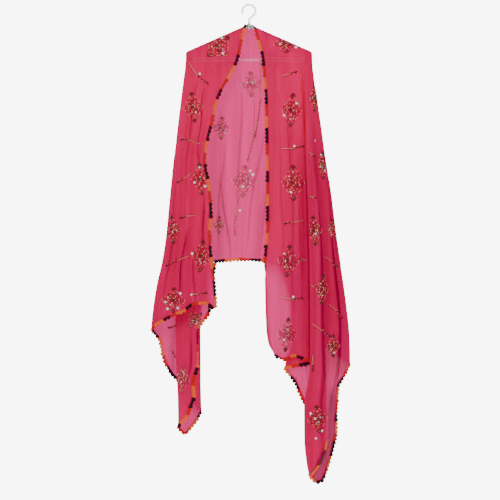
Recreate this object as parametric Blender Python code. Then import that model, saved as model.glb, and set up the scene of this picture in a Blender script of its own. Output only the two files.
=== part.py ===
"""A chiffon dupatta stole hanging over a tubular clothes hanger.

Metres, +Z up, the front faces -Y.  The origin is where the hook rests on its rail.  One sheet of cloth
runs as a C in plan: down the left front, round the left side, across the back, round the right side and
down the right front.  Tables give where its fold lines lie at each drop below the hanger's shoulder line,
in millimetres, and every wall is worked out from them.
"""
import functools
import math

import bpy
import numpy as np

MM = 0.001

# ---- driving dimensions, in millimetres -------------------------------------------------------------
WALL = 1.2                # thickness of a cloth wall
SEAM_GAP = 0.3            # clearance between neighbouring solids
TRIM_WIDTH = 8.5          # crocheted edging, measured outward from the cloth's edge
TRIM_BACK = 0.6           # edging depth on the cloth's inner side
TRIM_FRONT = 1.4          # edging depth on the cloth's outer side
SHOULDER_BELOW_RAIL = 65.0
ARM_SLOPE = 0.44          # drop of the hanger's arms for each millimetre outward
TUBE_RADIUS = 5.0
HOOK_RADIUS = 4.0
HOOK_INSIDE_RADIUS = 20.0
HOOK_NECK = 10.0          # from the hook's lowest level down to the straight stem
HOOK_SWEEP = math.radians(202)
ARM_START = 6.35          # the arms begin this far from the axis of the hook's stem
ARM_STATIONS = (50.0, 120.0, 196.0)
STEM_FOOT = 20.0          # the stem ends this far below the shoulder line
BEND_X = 204.0            # centre of the bend at each tip of the hanger
BEND_RADIUS = 13.5
ARM_FOOT = 6.0            # straight end of each arm past its bend
BAR_DROP = 130.0          # the lower bar's axis below the shoulder line
CHORD_SAG = 0.3           # room for the flat facets of the walls that bend over the arms
DRAPE_RADIUS = TUBE_RADIUS + SEAM_GAP + CHORD_SAG + WALL / 2
DRAPE_END = 217.0         # the cloth starts to close round the tips here
DRAPE_CLOSE = 10.5        # and has closed this much further out
DRAPE_TIP = 1.0
NECK_SPREAD = 2.0         # extra clearance behind the hook's stem
NECK_WIDTH = 14.0         # over this much on each side
NECK_SHARE = 0.055        # half the free top edge behind the hook, as a share of the back
OPENING_DROP = 750.0      # the folds reach their full depth this far below the arm
SPLIT_DROP = 800.0        # rows are even below this drop
TUCK_WIDTH = 9.0          # strip of the right front edge that rolls under
TUCK_ANGLE = math.radians(145)
TUCK_FROM = 780.0         # it starts and ends its roll at these drops
TUCK_TO = 980.0
LEAST_OPENED = 0.5        # turns are no rounder than this allows near the arm
OVER_ARM_STEPS = 4
FOLDS_FORMED = 200.0      # the inner folds have become round turns at this drop
WALK_STEP = 0.04          # share of a stretch taken at a time when measuring across it
EDGING_GAP = 0.5          # clearance between the cloth's edge and its edging
EDGING_EASE = 11.0        # length over which the edging's direction is eased
TURN_GAP = 1.6            # times the usual gap, where the cloth turns
MITRE_LIMIT = 0.5         # keeps the gap at sharp corners from growing without end
EDGING_OVER_ARM = math.radians(112)
FALL_STEP = 3.0           # drop over which the fall of the cloth is measured
FOLD_SWELL = 1.6          # how soon a soft fold reaches its full depth
NEAREST_COLUMN = 0.35     # an extra column replaces one this near, in column widths
ROW_GROWTH = 1.15         # rows lie closer together near the arm
SHARP_ANGLE = math.radians(50)
TOP_ROWS = 14
LOW_ROWS = 8


def table(columns, *rows):
    """Return a dict that holds each named column as an array."""
    names = columns.split()
    values = np.array(rows, dtype=float)
    return {name: values[:, i] for i, name in enumerate(names)}


# Where each fold line lies sideways, at each drop.  back is where the back panel begins.
LEFT = table(
    "drop   edge   side  fold_a  fold_b  back",
    (0,      -17,  -227,   -219,   -214, -150),
    (60,     -31,  -227,   -219,   -213, -150),
    (130,    -47,  -228,   -220,   -214, -150),
    (202,    -84,  -236,   -221,   -219, -150),
    (274,   -118,  -245,   -215,   -226, -150),
    (364,   -139,  -256,   -206,   -234, -148),
    (454,   -159,  -266,   -197,   -241, -146),
    (490,   -163,  -271,   -193,   -243, -144),
    (566,   -151,  -279,   -184,   -248, -141),
    (677,   -140,  -290,   -174,   -254, -136),
    (742,   -145,  -296,   -169,   -258, -133),
    (857,   -139,  -313,   -166,   -261, -126),
    (940,   -127,  -332,   -166,   -263, -139),
    (1027,  -123,  -346,   -169,   -265, -145),
    (1105,  -123,  -353,   -176,   -265, -186),
    (1210,  -123,  -353,   -176,   -265, -186),
    (1300,  -123,  -352,   -176,   -261, -205),
    (1354,  -123,  -350,   -175,   -259, -201),
    (1485,  -123,  -350,   -172,   -257, -201),
)
# under_r and under_l turn the layer that hides behind the right front; the pleat folds over it.
RIGHT = table(
    "drop  turn under_r under_l pleat_in pleat_out side fold_a fold_b back",
    (0,  28,    188,    191,     196,      201, 227,   219,   214, 150),
    (60,  48,    188,    191,     196,      201, 227,   219,   213, 150),
    (130,  64,    188,    191,     197,      202, 228,   220,   214, 150),
    (202,  70,    189,    192,     199,      203, 235,   221,   219, 150),
    (274,  75,    191,    194,     201,      204, 247,   215,   226, 150),
    (364,  77,    197,    194,     208,      203, 260,   207,   235, 142),
    (454,  78,    203,    190,     218,      202, 272,   200,   243, 130),
    (634,  80,    216,    170,     250,      209, 299,   188,   256,  90),
    (742,  79,    221,    160,     262,      212, 312,   183,   262,  72),
    (857,  68,    226,    153,     270,      216, 328,   180,   268,  58),
    (940,  60,    228,    150,     273,      217, 340,   181,   274,  58),
    (1027,  62,    230,    151,     275,      218, 351,   184,   280,  58),
    (1105,  66,    230,    151,     275,      218, 359,   187,   285,  58),
    (1150,  74,    230,    150,     275,      218, 361,   188,   287,  58),
    (1195,  95,    230,    138,     275,      218, 362,   190,   289,  58),
    (1240,  95,    230,    128,     275,      217, 362,   190,   290,  58),
    (1300,  95,    230,    128,     276,      209, 356,   190,   290,  58),
    (1364,  95,    230,    128,     277,      198, 352,   190,   290,  58),
    (1485,  95,    230,    128,     279,      199, 360,   190,   290,  58),
    (1573,  95,    230,    128,     279,      207, 360,   190,   290,  58),
    (1645,  95,    230,    128,     279,      223, 360,   190,   290,  58),
)
# How far each line stands out (+) behind or (-) in front of the hanger once the folds have opened, and
# the radius of the turn there: (+) where the sheet passes to the rear, (-) where it comes forward.
LINES = {
    ("left", "edge"): (-46, 0), ("left", "side"): (4, 20), ("left", "fold_a"): (58, -5),
    ("left", "fold_b"): (22, -4), ("left", "back"): (8, 0),
    ("right", "back"): (8, 0), ("right", "fold_b"): (22, 4), ("right", "fold_a"): (58, 5),
    ("right", "side"): (4, -20), ("right", "pleat_out"): (-60, 5), ("right", "pleat_in"): (-26, 5),
    ("right", "under_l"): (-14, -5), ("right", "under_r"): (-30, -5), ("right", "turn"): (-42, 0),
}
TABLES = {"left": LEFT, "right": RIGHT}
BOTH, START, END, NEITHER = "both", "start", "end", "neither"

# One row for each stretch of the sheet, from the left front edge round to the right front edge:
# its two lines, which of them are round turns, its columns, and front or rear.
STRETCHES = (
    ("left_front", ("left", "edge"), ("left", "side"), END, 8, "front"),
    ("left_a", ("left", "side"), ("left", "fold_a"), BOTH, 7, "rear"),
    ("left_b", ("left", "fold_a"), ("left", "fold_b"), BOTH, 5, "rear"),
    ("left_c", ("left", "fold_b"), ("left", "back"), START, 5, "rear"),
    ("back", ("left", "back"), ("right", "back"), NEITHER, 10, "rear"),
    ("right_c", ("right", "back"), ("right", "fold_b"), END, 6, "rear"),
    ("right_b", ("right", "fold_b"), ("right", "fold_a"), BOTH, 5, "rear"),
    ("right_a", ("right", "fold_a"), ("right", "side"), BOTH, 7, "rear"),
    ("right_outer", ("right", "side"), ("right", "pleat_out"), BOTH, 8, "front"),
    ("right_pleat", ("right", "pleat_out"), ("right", "pleat_in"), BOTH, 5, "front"),
    ("right_under", ("right", "pleat_in"), ("right", "under_l"), BOTH, 6, "front"),
    ("right_return", ("right", "under_l"), ("right", "under_r"), BOTH, 5, "front"),
    ("right_front", ("right", "under_r"), ("right", "turn"), START, 7, "front"),
    ("right_tuck", ("right", "turn"), ("right", "edge"), NEITHER, 3, "front"),
)
ORDER = {row[0]: i for i, row in enumerate(STRETCHES)}

# The lower edge of each stretch, edging included: share of the way across it, and drop.
HEMS = {
    "left_front": ((0, 1030), (0.07, 1014), (0.16, 1005), (0.39, 1013), (0.5, 1036), (0.6, 1044),
                   (0.76, 1062), (0.92, 1084), (1, 1105)),
    "left_a": ((0, 1105), (0.1, 1127), (0.19, 1150), (0.22, 1192), (0.31, 1238), (0.41, 1271),
               (0.52, 1289), (0.7, 1330), (1, 1405)),
    "left_b": ((0, 1405), (0.1, 1418), (0.28, 1444), (0.49, 1465), (0.7, 1485), (0.87, 1472), (1, 1455)),
    "left_c": ((0, 1455), (0.19, 1442), (0.5, 1426), (0.8, 1382), (1, 1354)),
    "back": ((0, 861), (0.5, 853), (1, 858)),
    "right_c": ((0, 858), (0.25, 872), (0.32, 906), (0.4, 950), (0.45, 1001), (0.7, 1050), (1, 1084)),
    "right_b": ((0, 1084), (1, 1130)),
    "right_a": ((0, 1130), (0.5, 1162), (1, 1228)),
    "right_outer": ((0, 1228), (0.04, 1238), (0.11, 1256), (0.22, 1289), (0.28, 1308), (0.31, 1470),
                    (0.4, 1530), (0.48, 1570), (0.58, 1606), (0.72, 1639), (0.86, 1645), (0.94, 1632),
                    (1, 1616)),
    "right_pleat": ((0, 1616), (0.1, 1609), (0.35, 1598), (0.63, 1555), (0.9, 1507), (1, 1498)),
    "right_under": ((0, 1498), (0.1, 1480), (0.22, 1451), (0.37, 1418), (0.54, 1357), (0.73, 1292),
                    (0.92, 1258), (1, 1243)),
    "right_return": ((0, 1243), (0.4, 1233), (0.7, 1229), (1, 1218)),
    "right_front": ((0, 1218), (0.4, 1199), (0.53, 1194), (0.68, 1205), (0.8, 1210), (1, 1196)),
    "right_tuck": ((0, 1196), (1, 1190)),
}
# Steep hems need a column at these shares.
EXTRA_SHARES = {
    "left_a": (0.19, 0.23), "right_outer": (0.28, 0.32), "back": (0.5 - NECK_SHARE, 0.5 + NECK_SHARE),
}

# Soft folds raised in the walls: stretch, share at the top and foot, width, depth, first and last drop.
FOLDS = (
    ("left_front", 0.16, 0.20, 0.060, -7.0, 200, 700),
    ("left_front", 0.30, 0.34, 0.070, 7.0, 150, 1000),
    ("left_front", 0.50, 0.52, 0.080, -9.0, 350, 1150),
    ("left_front", 0.62, 0.72, 0.070, 7.0, 500, 1150),
    ("back", 0.20, 0.16, 0.050, 5.0, 200, 900),
    ("back", 0.36, 0.38, 0.060, -5.0, 300, 900),
    ("back", 0.55, 0.60, 0.055, 5.0, 250, 900),
    ("back", 0.78, 0.80, 0.050, -4.0, 350, 900),
    ("right_c", 0.35, 0.35, 0.090, 7.0, 400, 1000),
    ("right_front", 0.30, 0.35, 0.080, -6.0, 250, 1150),
    ("right_front", 0.62, 0.60, 0.080, 6.0, 400, 1150),
    ("right_outer", 0.34, 0.40, 0.080, 7.0, 400, 1400),
    ("right_outer", 0.62, 0.66, 0.070, -6.0, 500, 1500),
)


def follow(lines, name, drop):
    """Read a fold line at a drop, on a smooth curve through the table's rows."""
    drops = lines["drop"]
    values = lines[name]
    drop = min(max(drop, drops[0]), drops[-1])
    i = int(min(max(np.searchsorted(drops, drop) - 1, 0), len(drops) - 2))
    span = drops[i + 1] - drops[i]
    chord = (values[i + 1] - values[i]) / span
    slopes = []
    for k in (i, i + 1):
        if 0 < k < len(drops) - 1:
            before = (values[k] - values[k - 1]) / (drops[k] - drops[k - 1])
            after = (values[k + 1] - values[k]) / (drops[k + 1] - drops[k])
            slopes.append(0.0 if before * after <= 0 else 2 * before * after / (before + after))
        else:
            slopes.append(chord)
    t = (drop - drops[i]) / span
    a, b = slopes[0] * span, slopes[1] * span
    rise = values[i + 1] - values[i]
    return values[i] + t * (a + t * (3 * rise - 2 * a - b + t * (a + b - 2 * rise)))


def arm_drop(x):
    """Drop of the arm's axis at a distance x from the middle, in the table's datum."""
    lift = (DRAPE_RADIUS + WALL / 2) * math.hypot(1, ARM_SLOPE)
    return lift + ARM_SLOPE * abs(x)


def drape_radius(x):
    """Distance from the arm's axis to the middle of the cloth that lies over it."""
    past = min(max((abs(x) - DRAPE_END) / DRAPE_CLOSE, 0.0), 1.0)
    closing = DRAPE_TIP + (DRAPE_RADIUS - DRAPE_TIP) * math.sqrt(1 - past * past)
    return closing + NECK_SPREAD * math.exp(-(x / NECK_WIDTH) ** 2)


def across(turns, s):
    """Share of the way sideways, at a step s along a stretch."""
    if turns == BOTH:
        return (1 - math.cos(math.pi * s)) / 2
    if turns == END:
        return math.sin(math.pi * s / 2)
    if turns == START:
        return 1 - math.cos(math.pi * s / 2)
    return s


def step_at_share(turns, share):
    """Return the step along a stretch that lies at a share of the way sideways."""
    if turns == BOTH:
        return math.acos(1 - 2 * share) / math.pi
    if turns == END:
        return math.asin(share) * 2 / math.pi
    if turns == START:
        return math.acos(1 - share) * 2 / math.pi
    return share


def sideways(stretch, s, drop):
    """Distance from the middle, in millimetres, of a point of the sheet."""
    name, start, end, turns, _, _ = STRETCHES[stretch]
    if name == "right_tuck":
        return rolled_edge(s, drop)[0]
    share = across(turns, s)
    if "side" not in (start[1], end[1]):
        formed = min(drop / FOLDS_FORMED, 1.0)
        share = s + (share - s) * formed
    x0, _ = line_place(start, drop)
    x1, _ = line_place(end, drop)
    return x0 + (x1 - x0) * share


def full_depth(stretch, s, drop, opened):
    """Distance behind the hanger once the folds are fully open, with rounder turns while they are not."""
    name, start, end, turns, _, _ = STRETCHES[stretch]
    if name == "right_tuck":
        return rolled_edge(s, drop)[1]
    x0, depth0 = line_place(start, drop)
    x1, depth1 = line_place(end, drop)
    bend = math.pi ** 2 / 2 if turns == BOTH else math.pi ** 2 / 4
    bend *= abs(x1 - x0) / max(opened, LEAST_OPENED)
    slopes = []
    for line in (start, end):
        radius = LINES[line][1] if line in LINES else 0.0
        slopes.append(math.copysign(math.sqrt(abs(radius) * bend), radius))
    rise = depth1 - depth0
    a, b = slopes
    return depth0 + s * (a + s * (3 * rise - 2 * a - b + s * (a + b - 2 * rise)))


def top_drop(stretch, s):
    """Drop at which a column of the sheet leaves the arm."""
    drop = arm_drop(sideways(stretch, s, 0.0))
    for _ in range(12):
        drop = arm_drop(sideways(stretch, s, drop))
    return drop


def hem_drop(stretch, s):
    """Drop of the cloth's lower edge, inside the edging."""
    name, _, _, turns, _, _ = STRETCHES[stretch]
    shares, drops = zip(*HEMS[name])
    return float(np.interp(across(turns, s), shares, drops)) - TRIM_WIDTH


def fold_depth(stretch, share, drop):
    """Depth of the soft folds that cross a point of the sheet."""
    total = 0.0
    for name, top, foot, width, depth, first, last in FOLDS:
        if name == STRETCHES[stretch][0] and first < drop:
            along = min((drop - first) / (last - first), 1.0)
            middle = top + (foot - top) * along
            swell = math.sin(math.pi / 2 * min(along * FOLD_SWELL, 1.0))
            total += depth * swell * math.exp(-((share - middle) / width) ** 2)
    return total


def rolled_edge(share, drop):
    """Sideways place and full depth in the strip along the right front edge, which rolls under."""
    x, depth = line_place(("right", "turn"), drop)
    rolled = min(max((drop - TUCK_FROM) / (TUCK_TO - TUCK_FROM), 0.0), 1.0)
    angle = max(TUCK_ANGLE * rolled * rolled * (3 - 2 * rolled), 0.001)
    radius = TUCK_WIDTH / angle
    return x - radius * math.sin(angle * share), depth + radius * (1 - math.cos(angle * share))


def line_place(line, drop):
    """Sideways place and full depth of a fold line."""
    if line == ("right", "edge"):
        return rolled_edge(1.0, drop)
    return follow(TABLES[line[0]], line[1], drop), LINES[line][0]


def point(stretch, s, drop):
    """A point of the sheet's middle surface, in metres."""
    _, _, _, turns, _, side = STRETCHES[stretch]
    top = top_drop(stretch, s)
    fallen = min(max((drop - top) / OPENING_DROP, 0.0), 1.0)
    opened = 1 - (1 - fallen) ** 2
    full = full_depth(stretch, s, drop, opened) + fold_depth(stretch, across(turns, s), drop)
    start_depth = drape_radius(sideways(stretch, s, top)) * (-1 if side == "front" else 1)
    y = start_depth + (full - start_depth) * opened
    return np.array((sideways(stretch, s, drop), y, -SHOULDER_BELOW_RAIL - drop)) * MM


def over_arm(stretch, s, angle):
    """A point of the cloth that lies over the arm: angle 0 is its front, pi its rear."""
    drop = top_drop(stretch, s)
    x = sideways(stretch, s, drop)
    radius = drape_radius(x)
    rise = radius * math.sin(angle) * math.hypot(1, ARM_SLOPE)
    return np.array((x, -radius * math.cos(angle), -SHOULDER_BELOW_RAIL - drop + rise)) * MM


def over_arm_normal(stretch, s, angle):
    """Unit normal of the cloth over the arm."""
    side = math.copysign(1, sideways(stretch, s, 0.0))
    length = math.hypot(1, ARM_SLOPE)
    up = math.sin(angle) / length
    return np.array((side * ARM_SLOPE * up, -math.cos(angle), up))


def neighbour(stretch, s):
    """Carry a step that runs off a stretch over to the next one."""
    if s < 0 and stretch > 0:
        return stretch - 1, 1 + s
    if s > 1 and stretch < len(STRETCHES) - 1:
        return stretch + 1, s - 1
    return stretch, min(max(s, 0.0), 1.0)


@functools.lru_cache(maxsize=None)
def columns(stretch):
    """Steps of the columns across a stretch."""
    name, _, _, turns, count, _ = STRETCHES[stretch]
    steps = [i / count for i in range(count + 1)]
    for share in EXTRA_SHARES.get(name, ()):
        extra = step_at_share(turns, share)
        nearest = min(range(1, count), key=lambda i: abs(steps[i] - extra))
        if abs(steps[nearest] - extra) < NEAREST_COLUMN / count:
            steps[nearest] = extra
        else:
            steps.append(extra)
    return tuple(sorted(steps))


def next_column(stretch, s, way):
    """The column beside a column, to its left (-1) or right (1) along the sheet."""
    i = columns(stretch).index(s) + way
    if 0 <= i < len(columns(stretch)):
        return stretch, columns(stretch)[i]
    if not 0 <= stretch + way < len(STRETCHES):
        return stretch, s
    return stretch + way, columns(stretch + way)[1 if way > 0 else -2]


def frame(before, place, after, drop):
    """Unit tangent across the sheet, and unit normal on its outer face, between two places beside it."""
    here = point(*place, drop)
    along = np.zeros(3)
    for way, other in ((-1, before), (1, after)):
        step = point(*other, drop) - here
        if np.linalg.norm(step) > 0:
            along += way * step / np.linalg.norm(step)
    down = point(*place, drop + FALL_STEP) - point(*place, drop - FALL_STEP)
    direction = np.cross(along, down)
    return along / np.linalg.norm(along), direction / np.linalg.norm(direction)


def column_frame(stretch, s, drop):
    """Tangent and normal at a column, shared evenly between the walls on its two sides."""
    return frame(next_column(stretch, s, -1), (stretch, s), next_column(stretch, s, 1), drop)


def walk(stretch, s, drop, distance):
    """Point and normal at a distance across the sheet; past the sheet's end it goes straight on."""
    way = int(math.copysign(1, distance))
    left = abs(distance) * MM
    here = point(stretch, s, drop)
    while True:
        onward = neighbour(stretch, s + way * WALK_STEP)
        along, direction = frame(neighbour(stretch, s - WALK_STEP), (stretch, s),
                                 neighbour(stretch, s + WALK_STEP), drop)
        if onward == (stretch, s):
            return here + along * way * left, direction
        there = point(*onward, drop)
        length = np.linalg.norm(there - here)
        if length >= left:
            return here + (there - here) * (left / length), direction
        left -= length
        here = there
        stretch, s = onward


def run_of_columns(first, last):
    """All columns from the start of one named stretch to the end of another."""
    found = []
    for stretch in range(ORDER[first], ORDER[last] + 1):
        steps = columns(stretch)
        if stretch > ORDER[first]:
            steps = steps[1:]
        found.extend((stretch, s) for s in steps)
    return found


def row_drops(stretch, s):
    """Drops of the rows down a column: closer together near the arm, then even to the hem."""
    top = top_drop(stretch, s)
    foot = hem_drop(stretch, s)
    upper = [top + (SPLIT_DROP - top) * (k / TOP_ROWS) ** ROW_GROWTH for k in range(TOP_ROWS + 1)]
    return upper + [SPLIT_DROP + (foot - SPLIT_DROP) * k / LOW_ROWS for k in range(1, LOW_ROWS + 1)]


def rows_of_column(stretch, s):
    """Points and normals down a column, from the rear of the arm where the cloth crosses it."""
    points, normals = [], []
    if STRETCHES[stretch][5] == "front":
        for k in range(OVER_ARM_STEPS, 0, -1):
            angle = math.pi * k / OVER_ARM_STEPS
            points.append(over_arm(stretch, s, angle))
            normals.append(over_arm_normal(stretch, s, angle))
    for drop in row_drops(stretch, s):
        points.append(point(stretch, s, drop))
        normals.append(column_frame(stretch, s, drop)[1])
    return points, normals


def toward(a, b, distance):
    """Move the points a towards the points b."""
    step = b - a
    return a + step / np.linalg.norm(step, axis=-1, keepdims=True) * distance * MM


def new_object(name, vertices, faces, material, smooth=True):
    """Add a mesh object with one material."""
    mesh = bpy.data.meshes.new(name)
    mesh.from_pydata([tuple(v) for v in vertices], [], faces)
    mesh.update()
    if smooth:
        mesh.shade_smooth()
        mesh.set_sharp_from_angle(angle=SHARP_ANGLE)
    mesh.materials.append(material)
    thing = bpy.data.objects.new(name, mesh)
    bpy.context.scene.collection.objects.link(thing)
    return thing


def grid_wall(name, points, normals, material):
    """Close a grid of middle points into a wall of the cloth's thickness."""
    rows, cols = points.shape[:2]
    outer = points + normals * (WALL / 2 * MM)
    inner = points - normals * (WALL / 2 * MM)
    vertices = np.concatenate((outer.reshape(-1, 3), inner.reshape(-1, 3)))
    count = rows * cols
    faces = []
    for i in range(rows - 1):
        for j in range(cols - 1):
            a, b = i * cols + j, i * cols + j + 1
            c, d = a + cols, b + cols
            across_ad = np.linalg.norm(points[i, j] - points[i + 1, j + 1])
            across_bc = np.linalg.norm(points[i, j + 1] - points[i + 1, j])
            halves = ((a, b, d), (a, d, c)) if across_ad < across_bc else ((a, b, c), (b, d, c))
            for half in halves:
                faces.append(half)
                faces.append(tuple(count + k for k in half[::-1]))
    rim = [j for j in range(cols)]
    rim += [i * cols + cols - 1 for i in range(1, rows)]
    rim += [(rows - 1) * cols + j for j in range(cols - 2, -1, -1)]
    rim += [i * cols for i in range(rows - 2, 0, -1)]
    for k, a in enumerate(rim):
        b = rim[(k + 1) % len(rim)]
        if a < b:
            faces += [(b, a, count + b), (a, count + a, count + b)]
        else:
            faces += [(b, a, count + a), (b, count + a, count + b)]
    return new_object(name, vertices, faces, material)


def cloth(name, first, last, seams, material):
    """Make one stretch of the sheet; seams names the sides that meet a neighbour."""
    grid_points, grid_normals = [], []
    for stretch, s in run_of_columns(first, last):
        points, normals = rows_of_column(stretch, s)
        grid_points.append(points)
        grid_normals.append(normals)
    points = np.array(grid_points).transpose(1, 0, 2)
    normals = np.array(grid_normals).transpose(1, 0, 2)
    half = SEAM_GAP / 2
    over_arm_rows = len(grid_points[0]) - len(row_drops(ORDER[first], 0.0))
    for side, name_of_stretch, s, way in (("start", first, 0.0, 1), ("end", last, 1.0, -1)):
        if side in seams:
            column = 0 if way > 0 else -1
            stretch = ORDER[name_of_stretch]
            drops = row_drops(stretch, s)
            shift = [column_frame(stretch, s, drop)[0] * way for drop in drops]
            shift = [shift[0]] * over_arm_rows + shift
            points[:, column] += np.array(shift) * half * MM
    if "top" in seams:
        points[0] = toward(points[0], points[1], SEAM_GAP)
    return grid_wall(name, points, normals, material)


def band(name, corners, material):
    """Close a row of four-cornered sections into one length of edging."""
    vertices = corners.reshape(-1, 3)
    faces = []
    last = 4 * (len(corners) - 1)
    for i in range(len(corners) - 1):
        for k in range(4):
            a, b = 4 * i + k, 4 * i + (k + 1) % 4
            if k == 3:
                faces += [(b, a, a + 4), (b, a + 4, b + 4)]
            else:
                faces += [(b, a, b + 4), (a, a + 4, b + 4)]
    faces.append((0, 1, 2, 3))
    faces.append((last + 3, last + 2, last + 1, last))
    return new_object(name, vertices, faces, material)


def hem_path(first, last):
    """The lower edge from the start of one stretch to the end of another."""
    return [(stretch, s, hem_drop(stretch, s)) for stretch, s in run_of_columns(first, last)]


def side_path(stretch, s, down, below=0.0):
    """A column that is a free edge below a drop, on the same rows as the cloth."""
    path = [(stretch, s, drop) for drop in row_drops(stretch, s) if drop > below]
    return path if down else path[::-1]


def arm_path(stretch, s, down):
    """Where an edge crosses the arm."""
    angles = [EDGING_OVER_ARM * k / 3 for k in range(1, 4)]
    if down:
        angles.reverse()
    return [(stretch, s, angle, "arm") for angle in angles]


def unit(vectors):
    """Scale vectors to unit length."""
    return vectors / np.linalg.norm(vectors, axis=-1, keepdims=True)


def ease(points, values):
    """Even out values along an edge, so that the edging's far side never runs back."""
    steps = np.linalg.norm(np.diff(points, axis=0), axis=1)
    along = np.concatenate(((0.0,), np.cumsum(steps)))
    apart = (along[:, None] - along[None, :]) / (EDGING_EASE * MM)
    weights = np.exp(-apart ** 2)
    return weights @ values / weights.sum(axis=1, keepdims=True)


def outward_step(here, there):
    """Unit step out of the sheet, as (across, down), beside an edge that runs from here to there."""
    if len(here) == 4 or len(there) == 4:
        return np.array((-1.0 if here[0] == 0 else 1.0, 0.0))
    middle = (here[2] + there[2]) / 2
    apart = np.linalg.norm(point(*there[:2], middle) - point(*here[:2], middle)) / MM
    if there[0] + there[1] < here[0] + here[1]:
        apart = -apart
    return unit(np.array((here[2] - there[2], apart)))


def turns_at(stretch, s):
    """Whether the sheet turns at the start (0) or end (1) of a stretch."""
    line = STRETCHES[stretch][2 if s else 1]
    return line in LINES and LINES[line][1] != 0


def edging(lengths, material):
    """Run the edging along named lengths of one edge; outward is to the right of the way it runs.

    Its sides are found by going down and across the sheet, so that it bends wherever the cloth does.
    """
    path, ends = [], []
    for _, length in lengths:
        path += length if not path else length[1:]
        ends.append(len(path) - 1)
    steps = [outward_step(path[i], path[i + 1]) for i in range(len(path) - 1)]
    before = np.array(steps[:1] + steps)
    after = np.array(steps + steps[-1:])
    mitre = (before + after) / (1 + (before * after).sum(axis=1, keepdims=True)).clip(MITRE_LIMIT)
    rough = [over_arm(*entry[:3]) if len(entry) == 4 else point(*entry) for entry in path]
    eased = ease(np.array(rough), unit(mitre))
    corners = []
    half = WALL / 2 * MM
    for i, entry in enumerate(path):
        stretch, s, height = entry[:3]
        if len(entry) == 4:
            normal = far_normal = over_arm_normal(stretch, s, height)
            out = unit(np.array((1.0 if stretch == 0 else -1.0, 0.0, ARM_SLOPE)))
            near = rough[i] + out * (EDGING_GAP * MM)
            far = rough[i] + out * (TRIM_WIDTH * MM)
        else:
            along, normal = column_frame(stretch, s, height)
            fall = point(stretch, s, height + FALL_STEP) - point(stretch, s, height - FALL_STEP)
            fall /= 2 * FALL_STEP * MM
            off = mitre[i]
            over, down = eased[i] / np.linalg.norm(along * eased[i, 0] + fall * eased[i, 1]) * TRIM_WIDTH
            if s in (0.0, 1.0) and turns_at(stretch, s):
                off = np.array((0.0, TURN_GAP / unit(off)[1]))
                over, down = 0.0, TRIM_WIDTH
            near = rough[i] + (along * off[0] + fall * off[1]) * (EDGING_GAP * MM)
            far, far_normal = walk(stretch, s, height + down, over)
        corners.append((near - normal * half, near + normal * half,
                        far + far_normal * (TRIM_FRONT * MM), far - far_normal * (TRIM_BACK * MM)))
    corners = np.array(corners)
    first = 0
    for (name, _), end in zip(lengths, ends):
        piece = corners[first:end + 1].copy()
        piece[0] = toward(piece[0], piece[1], SEAM_GAP / 2)
        piece[-1] = toward(piece[-1], piece[-2], SEAM_GAP / 2)
        band(name, piece, material)
        first = end


def tube(name, path, radius, sides, material):
    """A round bar along a flat path in the XZ plane, with flat ends."""
    path = np.array(path)
    tangents = np.gradient(path, axis=0)
    tangents /= np.linalg.norm(tangents, axis=1, keepdims=True)
    vertices = []
    for centre, along in zip(path, tangents):
        aside = np.cross((0, 1, 0), along)
        for k in range(sides):
            turn = 2 * math.pi * k / sides
            offset = aside * math.cos(turn) + np.array((0, 1, 0)) * math.sin(turn)
            vertices.append((centre + offset * radius) * MM)
    faces = []
    for i in range(len(path) - 1):
        for k in range(sides):
            a, b = i * sides + k, i * sides + (k + 1) % sides
            faces.append((a, b, b + sides, a + sides))
    faces.append(tuple(range(sides - 1, -1, -1)))
    faces.append(tuple((len(path) - 1) * sides + k for k in range(sides)))
    return new_object(name, vertices, faces, material)


def hanger(material):
    """Hook, two arms with bent tips, and the lower bar."""
    shoulder = -SHOULDER_BELOW_RAIL
    sweep = HOOK_INSIDE_RADIUS + HOOK_RADIUS
    centre = -HOOK_INSIDE_RADIUS
    hook = []
    stem_foot = shoulder - STEM_FOOT
    stem_head = centre - sweep - HOOK_NECK
    for k in range(4):
        hook.append((0.0, 0.0, stem_foot + (stem_head - stem_foot) * k / 3))
    for k in range(1, 7):
        t = k / 6
        x = sweep * (3 * t * t - 2 * t * t * t)
        hook.append((x, 0.0, stem_head + (centre - stem_head) * t))
    for k in range(1, 19):
        angle = HOOK_SWEEP * k / 18
        hook.append((sweep * math.cos(angle), 0.0, centre + sweep * math.sin(angle)))
    tube("hanger_hook", hook, HOOK_RADIUS, 12, material)

    axis = [(x, arm_drop(x)) for x in (ARM_START, *ARM_STATIONS)]
    slope_angle = math.atan(ARM_SLOPE)
    bend_top = math.pi / 2 - slope_angle
    bend_drop = BAR_DROP - BEND_RADIUS
    for k in range(9):
        angle = bend_top - (bend_top + math.pi / 2) * k / 8
        axis.append((BEND_X + BEND_RADIUS * math.cos(angle), bend_drop - BEND_RADIUS * math.sin(angle)))
    axis.append((BEND_X - ARM_FOOT, BAR_DROP))
    for side, name in ((-1, "left"), (1, "right")):
        path = [(side * x, 0.0, shoulder - drop) for x, drop in axis]
        tube("hanger_arm_" + name, path if side > 0 else path[::-1], TUBE_RADIUS, 12, material)
    reach = BEND_X - ARM_FOOT - SEAM_GAP
    bar = [(-reach + 2 * reach * k / 4, 0.0, shoulder - BAR_DROP) for k in range(5)]
    tube("hanger_bar", bar, TUBE_RADIUS, 12, material)


def new_material(name, colour, roughness):
    """A plain Principled material."""
    material = bpy.data.materials.new(name)
    material.use_nodes = True
    shader = material.node_tree.nodes["Principled BSDF"]
    shader.inputs["Base Color"].default_value = (*colour, 1)
    shader.inputs["Roughness"].default_value = roughness
    shader.inputs["Metallic"].default_value = 0.0
    return material


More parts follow.
